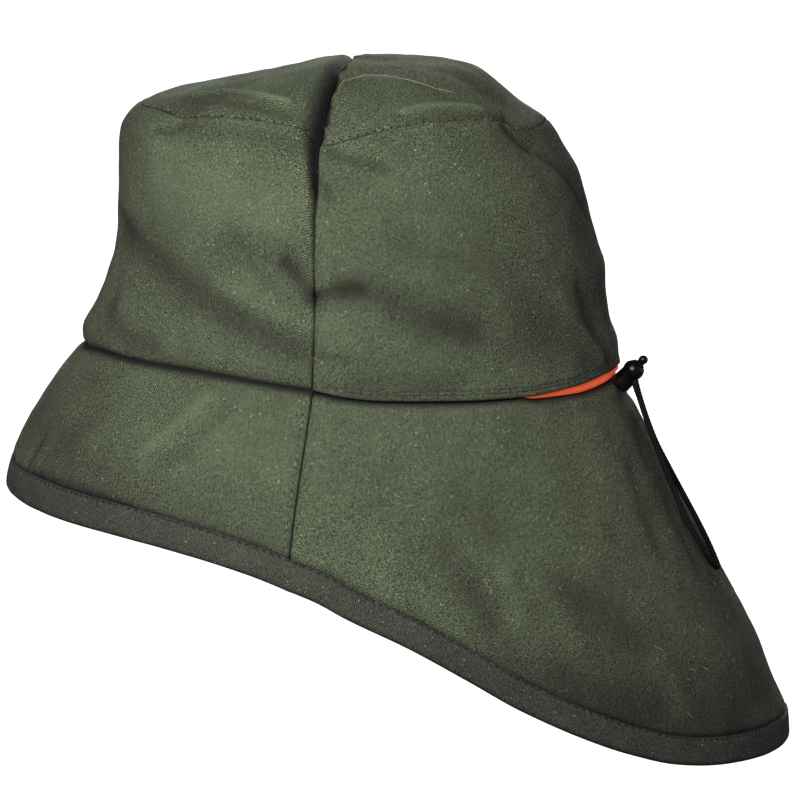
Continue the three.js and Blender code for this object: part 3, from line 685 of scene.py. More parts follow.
def facing(surface, angle, place, small=0.004):
    """Direction square to a surface, away from the hat's inside"""
    turn = surface(angle + small, place) - surface(angle - small, place)
    step = surface(angle, place + small) - surface(angle, place - small)
    square = unit(np.cross(turn, step))
    inwards = (square * surface(angle, place)).sum(-1, keepdims=True) < 0
    return np.where(inwards, -square, square)


# Relief of the cloth
def ripple(point, size, seed, waves=14):
    """Smooth unevenness, mostly between -1 and 1, with bumps of the given size"""
    draw = np.random.default_rng(seed)
    total = 0
    for _ in range(waves):
        direction = draw.normal(size=3)
        direction *= math.pi / (size * draw.uniform(0.7, 1.5)) / np.linalg.norm(direction)
        total = total + np.sin(point @ direction + draw.uniform(0, 2 * math.pi))
    return total / math.sqrt(waves)


def rolled(distance, radius):
    """How far a turned-in edge falls, at some distance from it"""
    rest = np.clip(1 - distance / radius, 0, 1)
    return radius * (1 - np.sqrt(1 - rest * rest))


def bell(x, width):
    return np.exp(-(x / width) ** 2)


def cloth_relief(point):
    """Unevenness that all the cloth has"""
    return 0.35 * MM * ripple(point, 16 * MM, 1) + 0.12 * MM * ripple(point, 6 * MM, 2)


def puckers(point, distance, reach, seed):
    """Small gathers beside a sewn line"""
    return ripple(point, 3.2 * MM, seed) * np.exp(-distance / reach)


def from_line(point, line):
    """Distance from each point to a line of straight steps"""
    nearest = np.full(point.shape[:-1], np.inf)
    for start, stop in zip(line, line[1:]):
        step = stop - start
        share = np.clip(((point - start) @ step) / (step @ step), 0, 1)
        nearest = np.minimum(nearest, np.linalg.norm(point - start - share[..., None] * step, axis=-1))
    return nearest


def folds_on(folds, surface, point):
    """Height of a part's soft folds at each point, and their painted shade (a painted highlight where negative)"""
    height, dark = np.zeros(point.shape[:-1]), np.zeros(point.shape[:-1])
    for width, depth, tone, places in folds:
        angles, at = np.array(places, float).T
        for side, share in ((1, 1.0), (-1, 0.6)):
            line = surface(side * angles, at)
            amount = share * bell(from_line(point, line), width * MM)
            height -= depth * MM * amount
            dark += tone * amount
    return height, dark


def groove(point, way, lean):
    """Shift and painted shade of the groove between the crown's halves: a long slope in front, a steep one behind.
    lean turns the shift from straight in (0) to straight down (1)."""
    y = point[..., 1]
    uneven = 1 + 0.5 * np.clip(ripple(point, 3.8 * MM, 5), -1, 1)
    rear = groove_rear(way) * MM * uneven
    front_share = smooth(-1, -0.1, y / (groove_front(way) * MM))
    rear_share = smooth(1, 0.3, y / rear)
    share = np.where(y < 0, front_share, rear_share)
    depth = groove_depth(way) * MM * share
    lip = 0.5 * MM * bell(y - rear - 1.3 * MM, 1.3 * MM) * smooth(1.5, 4, groove_depth(way))
    inwards = np.sign(point) * np.array([-1, 0, 0])
    turn = (lean * math.pi / 2)[..., None]
    direction = inwards * np.cos(turn) - np.array([0, 0, 1]) * np.sin(turn)
    # Painted shade in the groove, strongest where it sinks most
    dark = share * smooth(0.2, 3.2, groove_depth(way)) * 1.05
    return direction * (depth - np.where(y > 0, lip, 0))[..., None], dark


def wall_relief(angle, rise, point):
    """Height, painted shade and shift of the crown's wall, with its bulge over the brim and its hem behind"""
    below = (1 - rise) * TIP_HEIGHT
    above = rise * TIP_HEIGHT
    side = np.abs(point[..., 1])
    front = point[..., 1] < 0
    height, dark = folds_on(CROWN_FOLDS, crown_point, point)
    height *= smooth(0, 0.04, rise)
    height += cloth_relief(point)
    height += 0.18 * MM * puckers(point, below, 4 * MM, 3)
    height += 0.2 * MM * puckers(point, side, 3 * MM, 4)
    height -= rolled(side, 0.8 * MM)
    height -= rolled(below, 0.9 * MM)
    bulge = 1.3 * MM * bell(above - 6.5 * MM, 5 * MM) - rolled(above, 2.6 * MM)
    hem = 0.16 * MM * puckers(point, np.abs(above - 3 * MM), 3 * MM, 6) - rolled(above, 1.1 * MM)
    for row in REAR_STITCHES:
        hem = hem - 0.16 * MM * bell(above - row, 0.35 * MM)
    height += np.where(front, bulge, hem)
    # Painted shade under the crown's lower edge and its hem, and along the side seams
    dark += np.where(front, 0.6 * np.exp(-above / (1.7 * MM)), 0.5 * np.exp(-above / (1.1 * MM)))
    dark += 0.5 * np.exp(-side / (0.6 * MM))
    shift, groove_dark = groove(point, 2 - rise, 0.5 * smooth(0.6, 1, rise))
    return height, dark + groove_dark, shift


def tip_relief(angle, out, point):
    """The same of the tip, with the sunk line of its stitches"""
    inside = (1 - out) * CROWN_SIDE * 0.8
    height, dark = folds_on(TIP_FOLDS, dome_point, point)
    height += cloth_relief(point)
    height += 0.2 * MM * puckers(point, inside, 4 * MM, 7)
    height += 0.15 * MM * puckers(point, np.abs(point[..., 1]), 3 * MM, 8)
    height -= rolled(np.abs(point[..., 1]), 0.8 * MM)
    height -= rolled(inside, 0.9 * MM)
    height -= 0.2 * MM * bell(inside - TIP_STITCH, 0.4 * MM)
    # Painted shade along the tip seam
    dark += 0.6 * np.exp(-inside / (0.5 * MM))
    shift, groove_dark = groove(point, out, 1 - 0.5 * smooth(0.6, 1, out))
    return height, dark + groove_dark, shift


def edge_length(angle, down):
    """Length square to the lower edge, from it up to a place on the slope"""
    return (1 - down) * -hem_level(angle) / steepness(angle)


def slope_relief(angle, down, point, folds, surface):
    """The same of brim and flap, sunk towards the strip and the side seam"""
    over = edge_length(angle, down) - STRIP_WIDTH
    side = np.abs(point[..., 1] + SEAM_FORWARD * down)
    height, dark = folds_on(folds, surface, point)
    height += cloth_relief(point)
    height += 0.3 * MM * ripple(point, 24 * MM, 9)
    height += 0.24 * MM * puckers(point, over, 4 * MM, 10)
    height += 0.16 * MM * puckers(point, side, 3 * MM, 11)
    height -= rolled(side, 1.0 * MM)
    height -= 0.35 * MM * bell(side, 2.2 * MM)
    height -= 0.5 * MM * smooth(2.2 * MM, 0, over)
    height -= np.where(point[..., 1] < 0, 0.2 * MM * bell(side - SIDE_STITCH, 0.4 * MM), 0)
    # Painted shade just over the strip and along the side seam
    dark += 0.7 * np.exp(-over / (0.9 * MM)) + 0.7 * np.exp(-side / (0.6 * MM))
    return height, dark, np.zeros(point.shape)


def steepness(angle):
    """How much longer a height is than the width square to the lower edge, where that edge falls away"""
    step = 0.5

    def edge(at):
        return on_oval(at, HEM_FRONT, HEM_REAR, HEM_SIDE, hem_level(at))

    run = edge(angle + step) - edge(angle - step)
    return np.linalg.norm(run, axis=-1) / np.hypot(run[..., 0], run[..., 1])


def down_from_edge(angle, length):
    return 1 + length * steepness(angle) / hem_level(angle)


# The inner band and the parts that come out from under the crown
def band_shown(angle):
    return band_share(folded(angle))


def band_top(angle):
    return root_level(angle) - GAP + BAND_LIFT * (1 - smooth(0, 0.2, band_shown(angle)))


def band_edge(angle):
    return band_top(angle) - GAP - BAND_SHOW * band_shown(angle)


FLAP_INSIDE = HEM_CLOTH + BAND_CLOTH + 2 * GAP
BRIM_INSIDE = CLOTH + GAP


def flap_clear(angle):
    """Level at which the flap starts to come out below the hem and the inner band"""
    return np.minimum(band_edge(angle), root_level(angle)) - GAP


def brim_clear(angle):
    return root_level(angle) - GAP


def emerging(clear, turn, inside, shape, folds):
    """The slope's surface from under the crown (place 0) to the strip (place 1), sunk where it comes out"""
    def down_at(angle, place):
        top = slope_top(angle)
        start = (clear(angle) - top) / (hem_level(angle) - top)
        stop = down_from_edge(angle, STRIP_WIDTH)
        return start + (stop - start) * place

    def surface(angle, place):
        angle, place = np.broadcast_arrays(angle, place)
        point = slope_point(angle, down_at(angle, place))
        share = np.clip((clear(angle) - point[..., 2]) / turn, 0, 1)
        return point - outward(angle) * (inside * (1 - share) ** shape)[..., None]

    def relief(angle, place, point):
        height, dark, shift = slope_relief(angle, down_at(angle, place), point, folds, surface)
        under = np.maximum(clear(angle) - point[..., 2], 0)
        # Painted shadow where the slope comes out from under the crown's edge
        return height * smooth(0, 3 * MM, under), dark + 1.1 * bell(under, 1.4 * MM), shift

    return surface, relief


brim_surface, brim_relief = emerging(brim_clear, BRIM_TURN, BRIM_INSIDE, 2, BRIM_FOLDS)
flap_surface, flap_relief = emerging(flap_clear, FLAP_TURN, FLAP_INSIDE, 2.5, FLAP_FOLDS)


def skin(surface, relief):
    """The finished outer face of a surface: gives points, their outward directions and their painted shade"""
    def at(angle, place):
        angle, place = np.broadcast_arrays(np.asarray(angle, float), np.asarray(place, float))
        out = facing(surface, angle, place)
        point = surface(angle, place)
        height, dark, shift = relief(angle, place, point)
        return point + out * height[..., None] + shift, out, dark

    return at


crown_skin = skin(crown_point, wall_relief)
tip_skin = skin(dome_point, tip_relief)
brim_skin = skin(brim_surface, brim_relief)
flap_skin = skin(flap_surface, flap_relief)


def spread(start, stop, count, near, fine):
    """Places from start to stop, evenly spaced, with closer ones round each place in near"""
    places = [np.linspace(start, stop, count)]
    for centre in near:
        places += [centre - fine, centre + fine]
    merged = np.unique(np.concatenate(places).clip(start, stop).round(6))
    keep = [merged[0]]
    smallest = (stop - start) / count * 0.12
    for place in merged[1:]:
        if place - keep[-1] > smallest:
            keep.append(place)
    keep[-1] = merged[-1]
    return np.array(keep)


SEAM_STEPS = np.array([0.1, 0.22, 0.38, 0.6, 0.9, 1.3])  # degrees from a side seam
EDGE_STEPS = np.array([0, 0.15, 0.3, 0.5, 0.8, 1.2, 1.7]) * MM  # from an edge or a row of stitches


def half_angles(half, count=250):
    """Angles of the columns of the front half (-1) or the rear half (1), closest at the side seams"""
    middle = 0 if half < 0 else 180
    return spread(middle - 90, middle + 90, count, (middle - 90, middle + 90), SEAM_STEPS)


def panel(name, half, outer, inner, uv, shade, material):
    """A closed sheet of cloth between two grids of points that share their columns"""
    for rows in (outer, inner):
        rows[:, [0, -1], 1] += half * SEAM_GAP / 2
    grid = np.concatenate([outer, inner[::-1]])
    rows, columns = grid.shape[:2]
    faces = between_rows(rows, columns, closed_rows=True, closed_columns=False)
    faces.append([r * columns for r in range(rows)])
    faces.append([r * columns + columns - 1 for r in range(rows)][::-1])
    matching = np.linspace(0, len(outer) - 1, len(inner)).astype(int)
    uv = np.concatenate([uv, uv[matching][::-1]])
    # The inner face takes a little painted shade
    shade = np.concatenate([shade, np.full(inner.shape[:2], -0.15)])
    return new_object(name, grid.reshape(-1, 3), faces, material, uv=uv, shade=shade)


def cloth_uv(angle, length, radius):
    """Place on the cloth in millimetres: round the hat and down it"""
    u, v = np.broadcast_arrays(np.radians(angle) * radius, length)
    return np.stack([u, v], -1) / MM


def top_panel(name, half, face, places, inner_places, thickness, material):
    """A panel of the crown or its tip, with its inner face behind the outer one"""
    angles = half_angles(half)
    angle, place = np.meshgrid(angles, places)
    outer, _, dark = face(angle, place)
    inner, out, _ = face(*np.meshgrid(angles, inner_places))
    inner = inner - out * np.reshape(thickness, (-1, 1, 1))
    # The last row is drawn in and down, so that the wall and the tip meet at a mitre
    inner[-1] = outer[-1] - outward(angles) * (0.86 * CLOTH)
    inner[-1, :, 2] = outer[-1, :, 2] - 0.62 * CLOTH
    uv = outer[..., :2] / MM if face is tip_skin else cloth_uv(angle, place * TIP_HEIGHT, CROWN_REAR)
    return panel(name, half, outer, inner, uv, -dark, material)


def crown_panel(name, half, material):
    edge = 1 - GAP / 2 / TIP_HEIGHT
    hem = HEM_DEPTH / TIP_HEIGHT
    stitched = [row / TIP_HEIGHT for row in REAR_STITCHES] if half > 0 else []
    places = spread(0, edge, 86, (0, edge, *stitched), EDGE_STEPS / TIP_HEIGHT)
    inner_places = np.concatenate([[0, hem], np.linspace(hem + 0.01, edge, 24)])
    thickness = np.where((inner_places <= hem) & (half > 0), HEM_CLOTH, CLOTH)
    return top_panel(name, half, crown_skin, places, inner_places, thickness, material)


def tip_panel(name, half, material):
    middle, edge = 0.004, 1 - GAP / 2 / (CROWN_SIDE * wall_side(1))
    places = spread(middle, edge, 72, (edge, edge - TIP_STITCH / CROWN_SIDE), EDGE_STEPS / CROWN_SIDE)
    return top_panel(name, half, tip_skin, places, np.linspace(middle, edge, 24), CLOTH, material)


STRIP_SUNK = STRIP_CLOTH + GAP - STRIP_RAISE


def slope_panel(name, half, face, inside, tuck, count, material):
    """Front brim or neck flap: tucked up inside the crown, out from under it and down into the strip"""
    angles = half_angles(half, 300)
    places = spread(0, 1, count, (1,), np.array([0, 0.2, 0.4, 0.7, 1.1]) * MM / FLAP_DROP)
    outer, out, dark = face(*np.meshgrid(angles, places))
    angle, rise = np.meshgrid(angles, np.linspace(tuck, 0, 5)[:-1] / TIP_HEIGHT)
    up_out = facing(crown_point, angle, rise)
    up = crown_point(angle, rise) - up_out * inside
    angle, length = np.meshgrid(angles, [STRIP_WIDTH - GAP, STRIP_WIDTH / 2, STRIP_CLOTH + GAP])
    down = down_from_edge(angle, length)
    low_out = facing(slope_point, angle, down)
    low = slope_point(angle, down) - low_out * STRIP_SUNK
    thinned = np.unique([*range(0, len(places), 4), len(places) - 1])
    behind = [up - up_out * CLOTH, outer[thinned] - out[thinned] * CLOTH, low - low_out * CLOTH]
    outer = np.concatenate([up, outer, low])
    uv = cloth_uv(angles, -length_along(outer), HEM_SIDE)
    # Painted shade on the parts tucked up inside the crown and down into the strip
    shade = np.concatenate([np.full(up.shape[:2], -0.8), -dark, np.full(low.shape[:2], -0.4)])
    return panel(name, half, outer, np.concatenate(behind), uv, shade, material)


def strip_relief(point, top):
    """Relief of the strip's outer face, top being the distance down from its upper edge"""
    uneven = 0.12 * MM * ripple(point, 7 * MM, 12) + 0.16 * MM * puckers(point, top, 3 * MM, 13)
    return uneven - rolled(top, 0.8 * MM) - 0.25 * MM * bell(top - HEM_STITCH, 0.45 * MM)


def strip_piece(name, material):
    """The strip folded round the whole lower edge"""
    angles = np.unique(np.concatenate([half_angles(-1, 300), half_angles(1, 300)[:-1]]).round(5))
    angles = angles[angles < 270 - 1e-6]
    middle = STRIP_SUNK + CLOTH / 2
    hold = CLOTH / 2 + GAP
    reach = hold + STRIP_CLOTH
    down_steps = np.array([0, 0.12, 0.3, 0.55, 0.9, 1.3, 1.9, 2.6, 3.6, 4.8, 6.0, 7.2, 8.2]) * MM
    outline = [(STRIP_WIDTH - step, reach, 1) for step in down_steps]
    for turn in np.linspace(0, math.pi, 9):
        outline.append((reach * (1 - math.sin(turn)), reach * math.cos(turn), 1))
    outline += [(length, -reach, 0) for length in (3 * MM, 6 * MM, STRIP_WIDTH - 0.6 * MM)]
    outline += [(STRIP_WIDTH, -reach + 0.4 * MM, 0), (STRIP_WIDTH, -hold, 0), (STRIP_CLOTH, -hold, 0),
                (STRIP_CLOTH, hold, 0), (STRIP_WIDTH, hold, 0)]
    round_edge = length_along(slope_point(angles, np.ones(len(angles))))
    rows, uv, shade = [], [], []
    for length, offset, is_face in outline:
        down = down_from_edge(angles, length)
        point = slope_point(angles, down)
        height = np.full(len(angles), offset - middle)
        if is_face:
            top = STRIP_WIDTH - length
            relief = strip_relief(point, top)
            height = height + relief * smooth(-reach, reach, offset)
            # Painted shade along the strip's upper edge and near its fold, and painted light and shade that follow its
            # relief
            dark = 0.7 * np.exp(-top / (0.35 * MM)) + 0.6 * smooth(1.6 * MM, 0, length)
            shade.append(0.4 * relief / MM - dark)
        else:
            # The hidden faces take a little painted shade
            shade.append(np.full(len(angles), -0.1))
        rows.append(point + facing(slope_point, angles, down) * height[:, None])
        uv.append(np.stack([round_edge, np.full(len(angles), length + abs(offset - reach))], -1) / MM)
    faces = between_rows(len(rows), len(angles), closed_rows=True)
    return new_object(name, np.concatenate(rows), faces, material, uv=np.array(uv), shade=shade)


def band_piece(name, material):
    """The inner band: flat behind the hem, and swollen where it shows below it"""
    angles = np.linspace(97, 263, 260)
    sunk = HEM_CLOTH + GAP
    outline = [("up", share) for share in (1, 0.66, 0.33)]
    outline += [("down", share) for share in np.linspace(0, 1, 16)]
    outer, inner = [], []
    for kind, share in outline:
        if kind == "up":
            rise = np.full(len(angles), share * HEM_DEPTH / TIP_HEIGHT)
            puff = np.zeros(len(angles))
        else:
            level = band_top(angles) + (band_edge(angles) - band_top(angles)) * share
            rise = rise_at(angles, level)
            puff = math.sin(math.pi * min(0.5 + share * 0.45, 1) * share ** 0.6) if share < 1 else 0.25
            puff = puff * BAND_PUFF * band_shown(angles) ** 2
        out = facing(crown_point, angles, rise)
        point = crown_point(angles, rise)
        crinkle = 0.1 * MM * ripple(point, 3 * MM, 14) * (puff > 0.2 * MM)
        outer.append(point + out * (puff - sunk + crinkle)[:, None])
        inner.append(point + out * (0.6 * puff - sunk - BAND_CLOTH)[:, None])
    outer, inner = np.array(outer), np.array(inner)
    uv = cloth_uv(angles, outer[..., 2], CROWN_REAR)
    # Painted shade where the band goes in under the hem
    shade = np.broadcast_to(-0.6 * (1 - smooth(0.1, 0.7, band_shown(angles))), outer.shape[:2])
    return panel(name, 0, outer, inner, uv, shade, material)


# Stitches
def stitch_row(name, points, outs, material, hole_material, hole_size=1.0):
    """A row of stitches along a line on the cloth: a length of thread, then a dark fleck of painted shade for the hole
    it goes down
    """
    length = length_along(points)

    def at(distance):
        """Point on the line, and the directions out of the cloth, along the line and across it"""
        point, out = point_on(points, length, distance), unit(point_on(outs, length, distance))
        onward = unit(point_on(points, length, distance + 0.1 * MM) - point)
        return point, out, onward, np.cross(out, onward)

    vertices, faces, tone, holes, hole_faces = [], [], [], [], []
    sides, rings, hole_sides = 6, 7, 8
    start = STITCH_PITCH * 0.3
    while start + STITCH_LENGTH < length[-1]:
        shown = STITCH_LENGTH * rng.uniform(0.85, 1.1)
        shift = rng.uniform(-0.12, 0.12) * MM
        tone += [rng.uniform(0, 1)] * rings * sides
        faces += tube_faces(rings, sides, len(vertices))
        for ring in range(rings):
            share = ring / (rings - 1)
            point, out, _, sideways = at(start + shown * share)
            arch = math.sin(math.pi * share) ** 0.5
            radius = THREAD / 2 * (0.55 + 0.45 * arch)
            centre = point + out * (arch * 0.2 * MM - 0.1 * MM) + sideways * shift
            vertices += circle(centre, radius * sideways, radius * out, sides)
        point, out, onward, sideways = at(start + shown + (STITCH_PITCH - shown) * 0.5)
        long, wide = hole_size * HOLE_SIZE * rng.uniform(0.8, 1.2, 2) * (1, 0.53)
        hole_faces += tube_faces(3, hole_sides, len(holes))
        for reach, level in ((1, -0.5), (0.8, 0.6), (0.4, 1)):
            centre = point + sideways * shift + out * level * HOLE_HEIGHT
            holes += circle(centre, reach * long * onward, reach * wide * sideways, hole_sides)
        start += STITCH_PITCH * rng.uniform(0.94, 1.06)
    for piece in (new_object(name, vertices, faces, material, 80, tone=tone),
                  new_object(name + "_holes", holes, hole_faces, hole_material, 80)):
        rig.slot(piece, "crown_rear")


# Drawcord and lock
def cord_line(spacing=0.25 * MM):
    """Points along the drawcord's route, evenly spaced, and its length"""
    points = np.array(CORD_ROUTE) * MM
    ends = [2 * points[0] - points[1], *points, 2 * points[-1] - points[-2]]
    line = []
    for corners in zip(ends, ends[1:], ends[2:], ends[3:]):
        steps = [np.linalg.norm(stop - start) ** 0.5 for start, stop in zip(corners, corners[1:])]
        knots = np.cumsum([0, *steps])
        for t in np.linspace(knots[1], knots[2], 60, endpoint=False):

            def between(p, q, i, j):
                return ((knots[j] - t) * p + (t - knots[i]) * q) / (knots[j] - knots[i])

            ab, bc, cd = (between(corners[i], corners[i + 1], i, i + 1) for i in range(3))
            line.append(between(between(ab, bc, 0, 2), between(bc, cd, 1, 3), 1, 2))
    line = np.array([*line, points[-1]])
    length = length_along(line)
    even = np.linspace(0, length[-1], int(length[-1] / spacing))
    return point_on(line, length, even), length[-1]


def cord_piece():
    """The loop of elastic cord, with its braid in relief"""
    line, length = cord_line()
    sides, strands, lay = 32, 8, 3.2 * MM
    direction = unit(np.gradient(line, axis=0))
    side = np.cross(direction, (0.9, 0.1, 0.1))
    for i in range(1, len(line)):
        side[i] = unit(side[i - 1] - direction[i] * (side[i - 1] @ direction[i]))
    side[0] = unit(side[0])
    other = np.cross(direction, side)
    step = length / (len(line) - 1)
    vertices = []
    for i, centre in enumerate(line):
        wind = 2 * math.pi * i * step / lay
        for k in range(sides):
            turn = 2 * math.pi * k / sides
            braid = math.cos(strands * turn / 2 + wind) * math.cos(strands * turn / 2 - wind)
            radius = CORD_SIZE / 2 * (0.97 + 0.07 * braid)
            vertices.append(centre + radius * (math.cos(turn) * side[i] + math.sin(turn) * other[i]))
    material = plain_material("cord_braid", (0.0065, 0.0065, 0.007), 0.7, 0.35 * MM, 0.05 * MM, 0.6, 0.12)
    made = new_object("drawcord", vertices, tube_faces(len(line), sides), material, 80)
    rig.replaces(made, "drawcord_loop")
    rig.slot(made, "drawcord_loop")
    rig.cord(made, exit=line[0], length=round(length, 4), diameter=CORD_SIZE, far_end="object",
            stiffness="limp", lay="hanging", path=line[::3])


def turned(name, profile, centre, axis, material, body, sides=72):
    """Turns a profile of (radius, along) points round an axis"""
    lean = np.array(Vector((0, 0, 1)).rotation_difference(Vector(axis)).to_matrix())
    vertices = []
    for radius, height in profile:
        vertices += circle(centre + axis * height, radius * lean[:, 0], radius * lean[:, 1], sides)
    return new_object(name, vertices, between_rows(len(profile), sides), material, 35, body)


def lock_pieces():
    """The round cord lock on its barrel, and its spring plunger"""
    out = outward(LOCK_ANGLE)
    axis = out * math.cos(math.radians(LOCK_TILT))
    axis[2] = math.sin(math.radians(LOCK_TILT))
    foot = on_oval(LOCK_ANGLE, CROWN_FRONT, CROWN_REAR, CROWN_SIDE, LOCK_LEVEL) + out * LOCK_STAND
    centre = foot + axis * LOCK_REACH
    ball, barrel, bore = LOCK_BALL / 2, LOCK_BARREL / 2, PLUNGER_BORE / 2
    edge, lip = 0.5 * MM, 0.25 * MM  # roundings of the barrel's foot and of the bore
    profile = [(1e-6, -LOCK_REACH), (0.62 * barrel, -LOCK_REACH), (0.66 * barrel, -LOCK_REACH + 0.15 * MM),
               (0.7 * barrel, -LOCK_REACH)]
    for turn in np.linspace(0, math.pi / 2, 6):
        profile.append((barrel - edge * (1 - math.sin(turn)), -LOCK_REACH + edge * (1 - math.cos(turn))))
    profile.append((barrel, -0.62 * LOCK_REACH))
    waist = math.pi - math.asin(0.93 * barrel / ball)
    top = math.asin((bore + lip) / ball)
    for turn in np.linspace(waist, top, 26):
        profile.append((ball * math.sin(turn), ball * math.cos(turn)))
    for turn in np.linspace(0.3, math.pi / 2, 4):
        profile.append((bore + lip * (1 - math.sin(turn)), ball * math.cos(top) - lip * (1 - math.cos(turn))))
    profile += [(bore, ball - BORE_DEPTH), (1e-6, ball - BORE_DEPTH)]
    plastic = plain_material("lock_plastic", (0.002, 0.002, 0.002), 0.26, 0.9 * MM, 0.02 * MM, 0.5, 0.3)
    body = turned("cord_lock", profile, centre, axis, plastic, "hat")
    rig.replaces(body, "lock_body")
    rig.slot(body, "lock_body")
    radius = PLUNGER_SIZE / 2
    end = ball + PLUNGER_SHOWN
    bottom = ball - BORE_DEPTH + PLUNGER_TRAVEL + GAP
    stem = [(1e-6, bottom), (radius, bottom), (radius, ball - 0.4 * MM), (0.86 * radius, ball - 0.1 * MM),
            (0.86 * radius, ball + 0.5 * MM), (radius, ball + 0.9 * MM)]
    for turn in np.linspace(0, math.pi / 2, 9):
        stem.append((max(radius * math.cos(turn), 1e-6), end - radius + radius * math.sin(turn)))
    knob = turned("cord_lock_plunger", stem, centre, axis, plastic, "plunger", 48)
    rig.replaces(knob, "lock_plunger")
    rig.slot(knob, "lock_plunger")


# Lint: short pale fibres that lie on the cloth, and one long thread on top
def fibre(vertices, faces, points, radius, sides=5):
    faces += tube_faces(len(points), sides, len(vertices))
    for i, point in enumerate(points):
        direction = unit(points[min(i + 1, len(points) - 1)] - points[max(i - 1, 0)])
        side = unit(np.cross(direction, (0.31, 0.22, 0.92)))
        thin = radius * (0.5 if i in (0, len(points) - 1) else 1)
        vertices += circle(point, thin * side, thin * np.cross(direction, side), sides)


def lint_piece(material):
    vertices, faces = [], []
    skins = ((crown_skin, -180, 180, 0.08, 0.95, 200), (tip_skin, -180, 180, 0.15, 0.95, 80),
             (brim_skin, -88, 88, 0.1, 0.95, 90), (flap_skin, 92, 268, 0.1, 0.97, 200))
    reach = 110 * MM  # about the hat's radius, and the length of its panels
    steps = np.linspace(0, 1, 6)
    for face, first, last, low, high, count in skins:
        for _ in range(count):
            angle = rng.uniform(first, last)
            place = rng.uniform(low, high)
            heading = rng.uniform(0, 2 * math.pi)
            length = rng.uniform(0.8, 4.5) * MM * rng.uniform(0.4, 1)
            turn = heading + rng.uniform(-1.2, 1.2) * steps
            angles = angle + np.degrees(np.cumsum(np.cos(turn)) * length / 6 / reach)
            places = place + np.cumsum(np.sin(turn)) * length / 6 / reach
            points, outs, _ = face(angles, np.clip(places, 0.02, 0.98))
            fibre(vertices, faces, points + outs * 0.06 * MM, rng.uniform(0.035, 0.085) * MM)
    angles = np.array([93, 97, 101, 108, 115, 119, 122, 125.5, 130, 133.5, 136, 139])
    places = np.array([0.6, 0.56, 0.54, 0.535, 0.555, 0.58, 0.6, 0.626, 0.69, 0.746, 0.765, 0.796])
    fine = np.linspace(0, len(angles) - 1, 80)
    corner = np.arange(len(angles))
    points, outs, _ = tip_skin(np.interp(fine, corner, angles), np.interp(fine, corner, places))
    fibre(vertices, faces, points + outs * 0.1 * MM, 0.09 * MM)
    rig.slot(new_object("lint", vertices, faces, material, 80), "crown_rear")


# Stage
def add_light(name, kind, azimuth, elevation, strength, colour, **settings):
    light = bpy.data.lights.new(name, kind)
    light.energy = strength
    light.color = colour
    for key, value in settings.items():
        setattr(light, key, value)
    lamp = add_object(name, light)
    way = towards(azimuth, elevation)
    lamp.location = Vector((0, 0.01, 0.03)) + way * 0.72
    lamp.rotation_mode = "QUATERNION"
    lamp.rotation_quaternion = way.to_track_quat("Z", "Y")
    lamp.visible_camera = False


def add_stage():
    """A white floor, a soft key light from the photo's side, and three weak suns"""
    half, level = 30, -0.42
    mesh = bpy.data.meshes.new("floor")
    corners = [(half * x, half * y, level) for x, y in ((-1, -1), (1, -1), (1, 1), (-1, 1))]
    mesh.from_pydata(corners, [], [(0, 1, 2, 3)])
    floor = add_object("floor", mesh)
    floor.visible_diffuse = False
    floor.visible_glossy = False
    surface = new_material("floor")[-1]
    mesh.materials.append(surface(Base_Color=(0.93, 0.93, 0.93), Roughness=1, Specular_IOR_Level=0,
                                  Emission_Color=(1, 1, 1), Emission_Strength=1))
    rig.stage(floor)
    add_light("key", "AREA", 86, 21, 5.5, (1.0, 1.0, 0.93), shape="DISK", size=0.42)
    add_light("back", "SUN", 275, 12, 1.5, (0.92, 1.0, 0.85), angle=math.radians(24))
    add_light("rear", "SUN", 190, 14, 0.43, (0.98, 0.84, 1.1), angle=math.radians(60))
    add_light("front", "SUN", 30, 10, 0.75, (0.98, 0.84, 1.1), angle=math.radians(40))
    world = bpy.data.worlds.new("studio")
    bpy.context.scene.world = world
    world.use_nodes = True
    world.node_tree.nodes["Background"].inputs[0].default_value = (0.9, 0.78, 1.08, 1)
    world.node_tree.nodes["Background"].inputs[1].default_value = 0.14
    bpy.context.scene.view_settings.view_transform = "Standard"


add_camera()
cord_piece()

# Colours of the cloth between its threads, on them, of lint, and of the painted shade in the darkest folds and hollows
HAT_COLOURS = ((0.027, 0.033, 0.020), (0.141, 0.168, 0.102), (0.46, 0.49, 0.38), (0.015, 0.0145, 0.0165))
STRIP_COLOURS = ((0.026, 0.029, 0.023), (0.078, 0.089, 0.066), *HAT_COLOURS[2:])
BAND_COLOURS = ((0.8, 0.07, 0.022), (0.98, 0.16, 0.055), (1.0, 0.35, 0.2), (0.35, 0.02, 0.006))
crown_cloth = cloth_material("crown_cloth", *HAT_COLOURS)
crown_cloth_rear = cloth_material("crown_cloth_rear", *HAT_COLOURS, twill_lean=-1)
tip_cloth = cloth_material("tip_cloth", *HAT_COLOURS, twill_lean=0.4)
slope_cloth = cloth_material("slope_cloth", *HAT_COLOURS, twill_lean=-1.2)
strip_cloth = cloth_material("strip_cloth", *STRIP_COLOURS, twill_lean=0.3, lint_share=0.25)
# The orange band takes a painted glow, so that it stays bright where the hem shades it
band_cloth = cloth_material("band_cloth", *BAND_COLOURS, lint_share=0.05, glow=0.36)
thread = thread_material("sewing_thread", (0.085, 0.1, 0.06), (0.27, 0.3, 0.21))
hem_thread = thread_material("hem_thread", (0.03, 0.036, 0.026), (0.1, 0.115, 0.08))
# Dark flecks of painted shade for the needle holes
holes = plain_material("stitch_hole", (0.008, 0.009, 0.006), 0.9, 0.3 * MM, 0.02 * MM)
fibres = plain_material("lint_fibre", (0.34, 0.36, 0.27), 0.8, 0.4 * MM, 0.01 * MM)

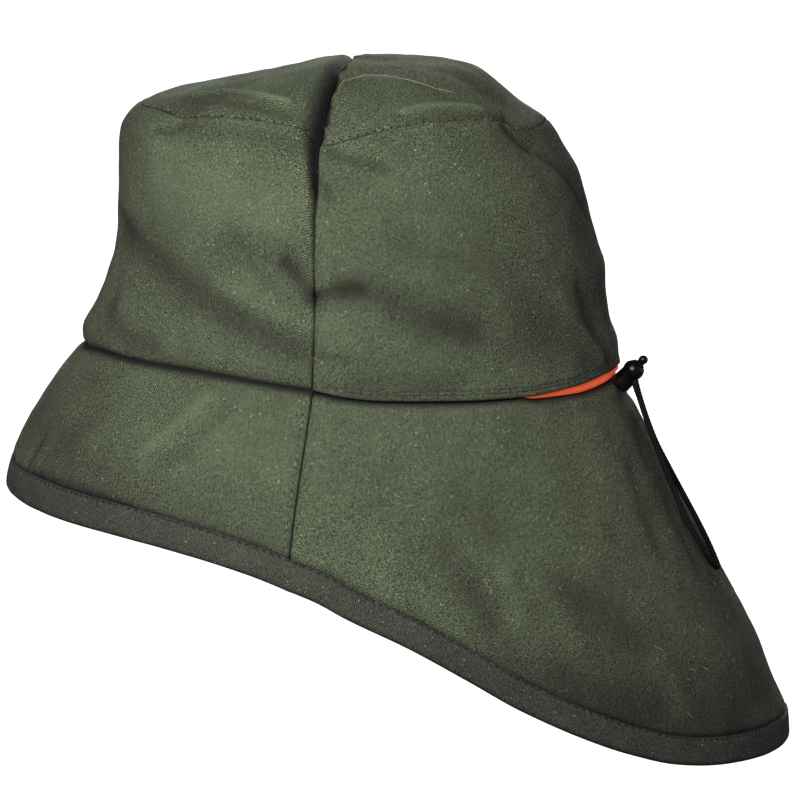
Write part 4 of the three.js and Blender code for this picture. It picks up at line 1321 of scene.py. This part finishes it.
pieces = {
    "tip_front": tip_panel("tip_front_cloth", -1, tip_cloth),
    "tip_rear": tip_panel("tip_rear_cloth", 1, tip_cloth),
    "crown_front": crown_panel("crown_front_cloth", -1, crown_cloth),
    "crown_rear": crown_panel("crown_rear_cloth", 1, crown_cloth_rear),
    "brim_front": slope_panel("brim_front_cloth", -1, brim_skin, BRIM_INSIDE, BRIM_TUCK, 62, slope_cloth),
    "neck_flap": slope_panel("neck_flap_cloth", 1, flap_skin, FLAP_INSIDE, HEM_DEPTH, 118, slope_cloth),
    "hem_strip": strip_piece("hem_strip_cloth", strip_cloth),
    "inner_band": band_piece("inner_band_cloth", band_cloth),
}
for node_name, piece in pieces.items():
    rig.replaces(piece, node_name)
    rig.slot(piece, node_name)

lock_pieces()

tip_edge = 1 - TIP_STITCH / CROWN_SIDE
for name, low, high in (("tip_front_stitches", -88.5, 88.5), ("tip_rear_stitches", 91.5, 268.5)):
    stitch_row(name, *tip_skin(np.linspace(low, high, 900), tip_edge)[:2], thread, holes)
for side_name, side in (("left", 1), ("right", -1)):
    downs = np.linspace(0.04, 0.99, 300)
    angles = side * (90 - np.degrees(SIDE_STITCH / (CROWN_FRONT + (HEM_FRONT - CROWN_FRONT) * downs)))
    stitch_row("brim_stitches_" + side_name, *brim_skin(angles, downs)[:2], thread, holes)
for number, row in enumerate(REAR_STITCHES):
    line = crown_skin(np.linspace(91.2, 268.8, 1000), row / TIP_HEIGHT)[:2]
    stitch_row(f"rear_hem_stitches_{number + 1}", *line, hem_thread, holes, 0.8)
around = np.linspace(-90, 270, 2400)
below = down_from_edge(around, STRIP_WIDTH - HEM_STITCH)
square = facing(slope_point, around, below)
line = slope_point(around, below)
raised = GAP + STRIP_CLOTH - STRIP_SUNK + strip_relief(line, HEM_STITCH)
stitch_row("hem_stitches", line + square * raised[:, None], square, hem_thread, holes, 1.5)
lint_piece(fibres)
add_stage()

visual_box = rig.bounds()
with open("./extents.json", "w") as size_file:
    json.dump({"cad": [list(corner) for corner in cad_box],
               "visual": [list(corner) for corner in visual_box]}, size_file)
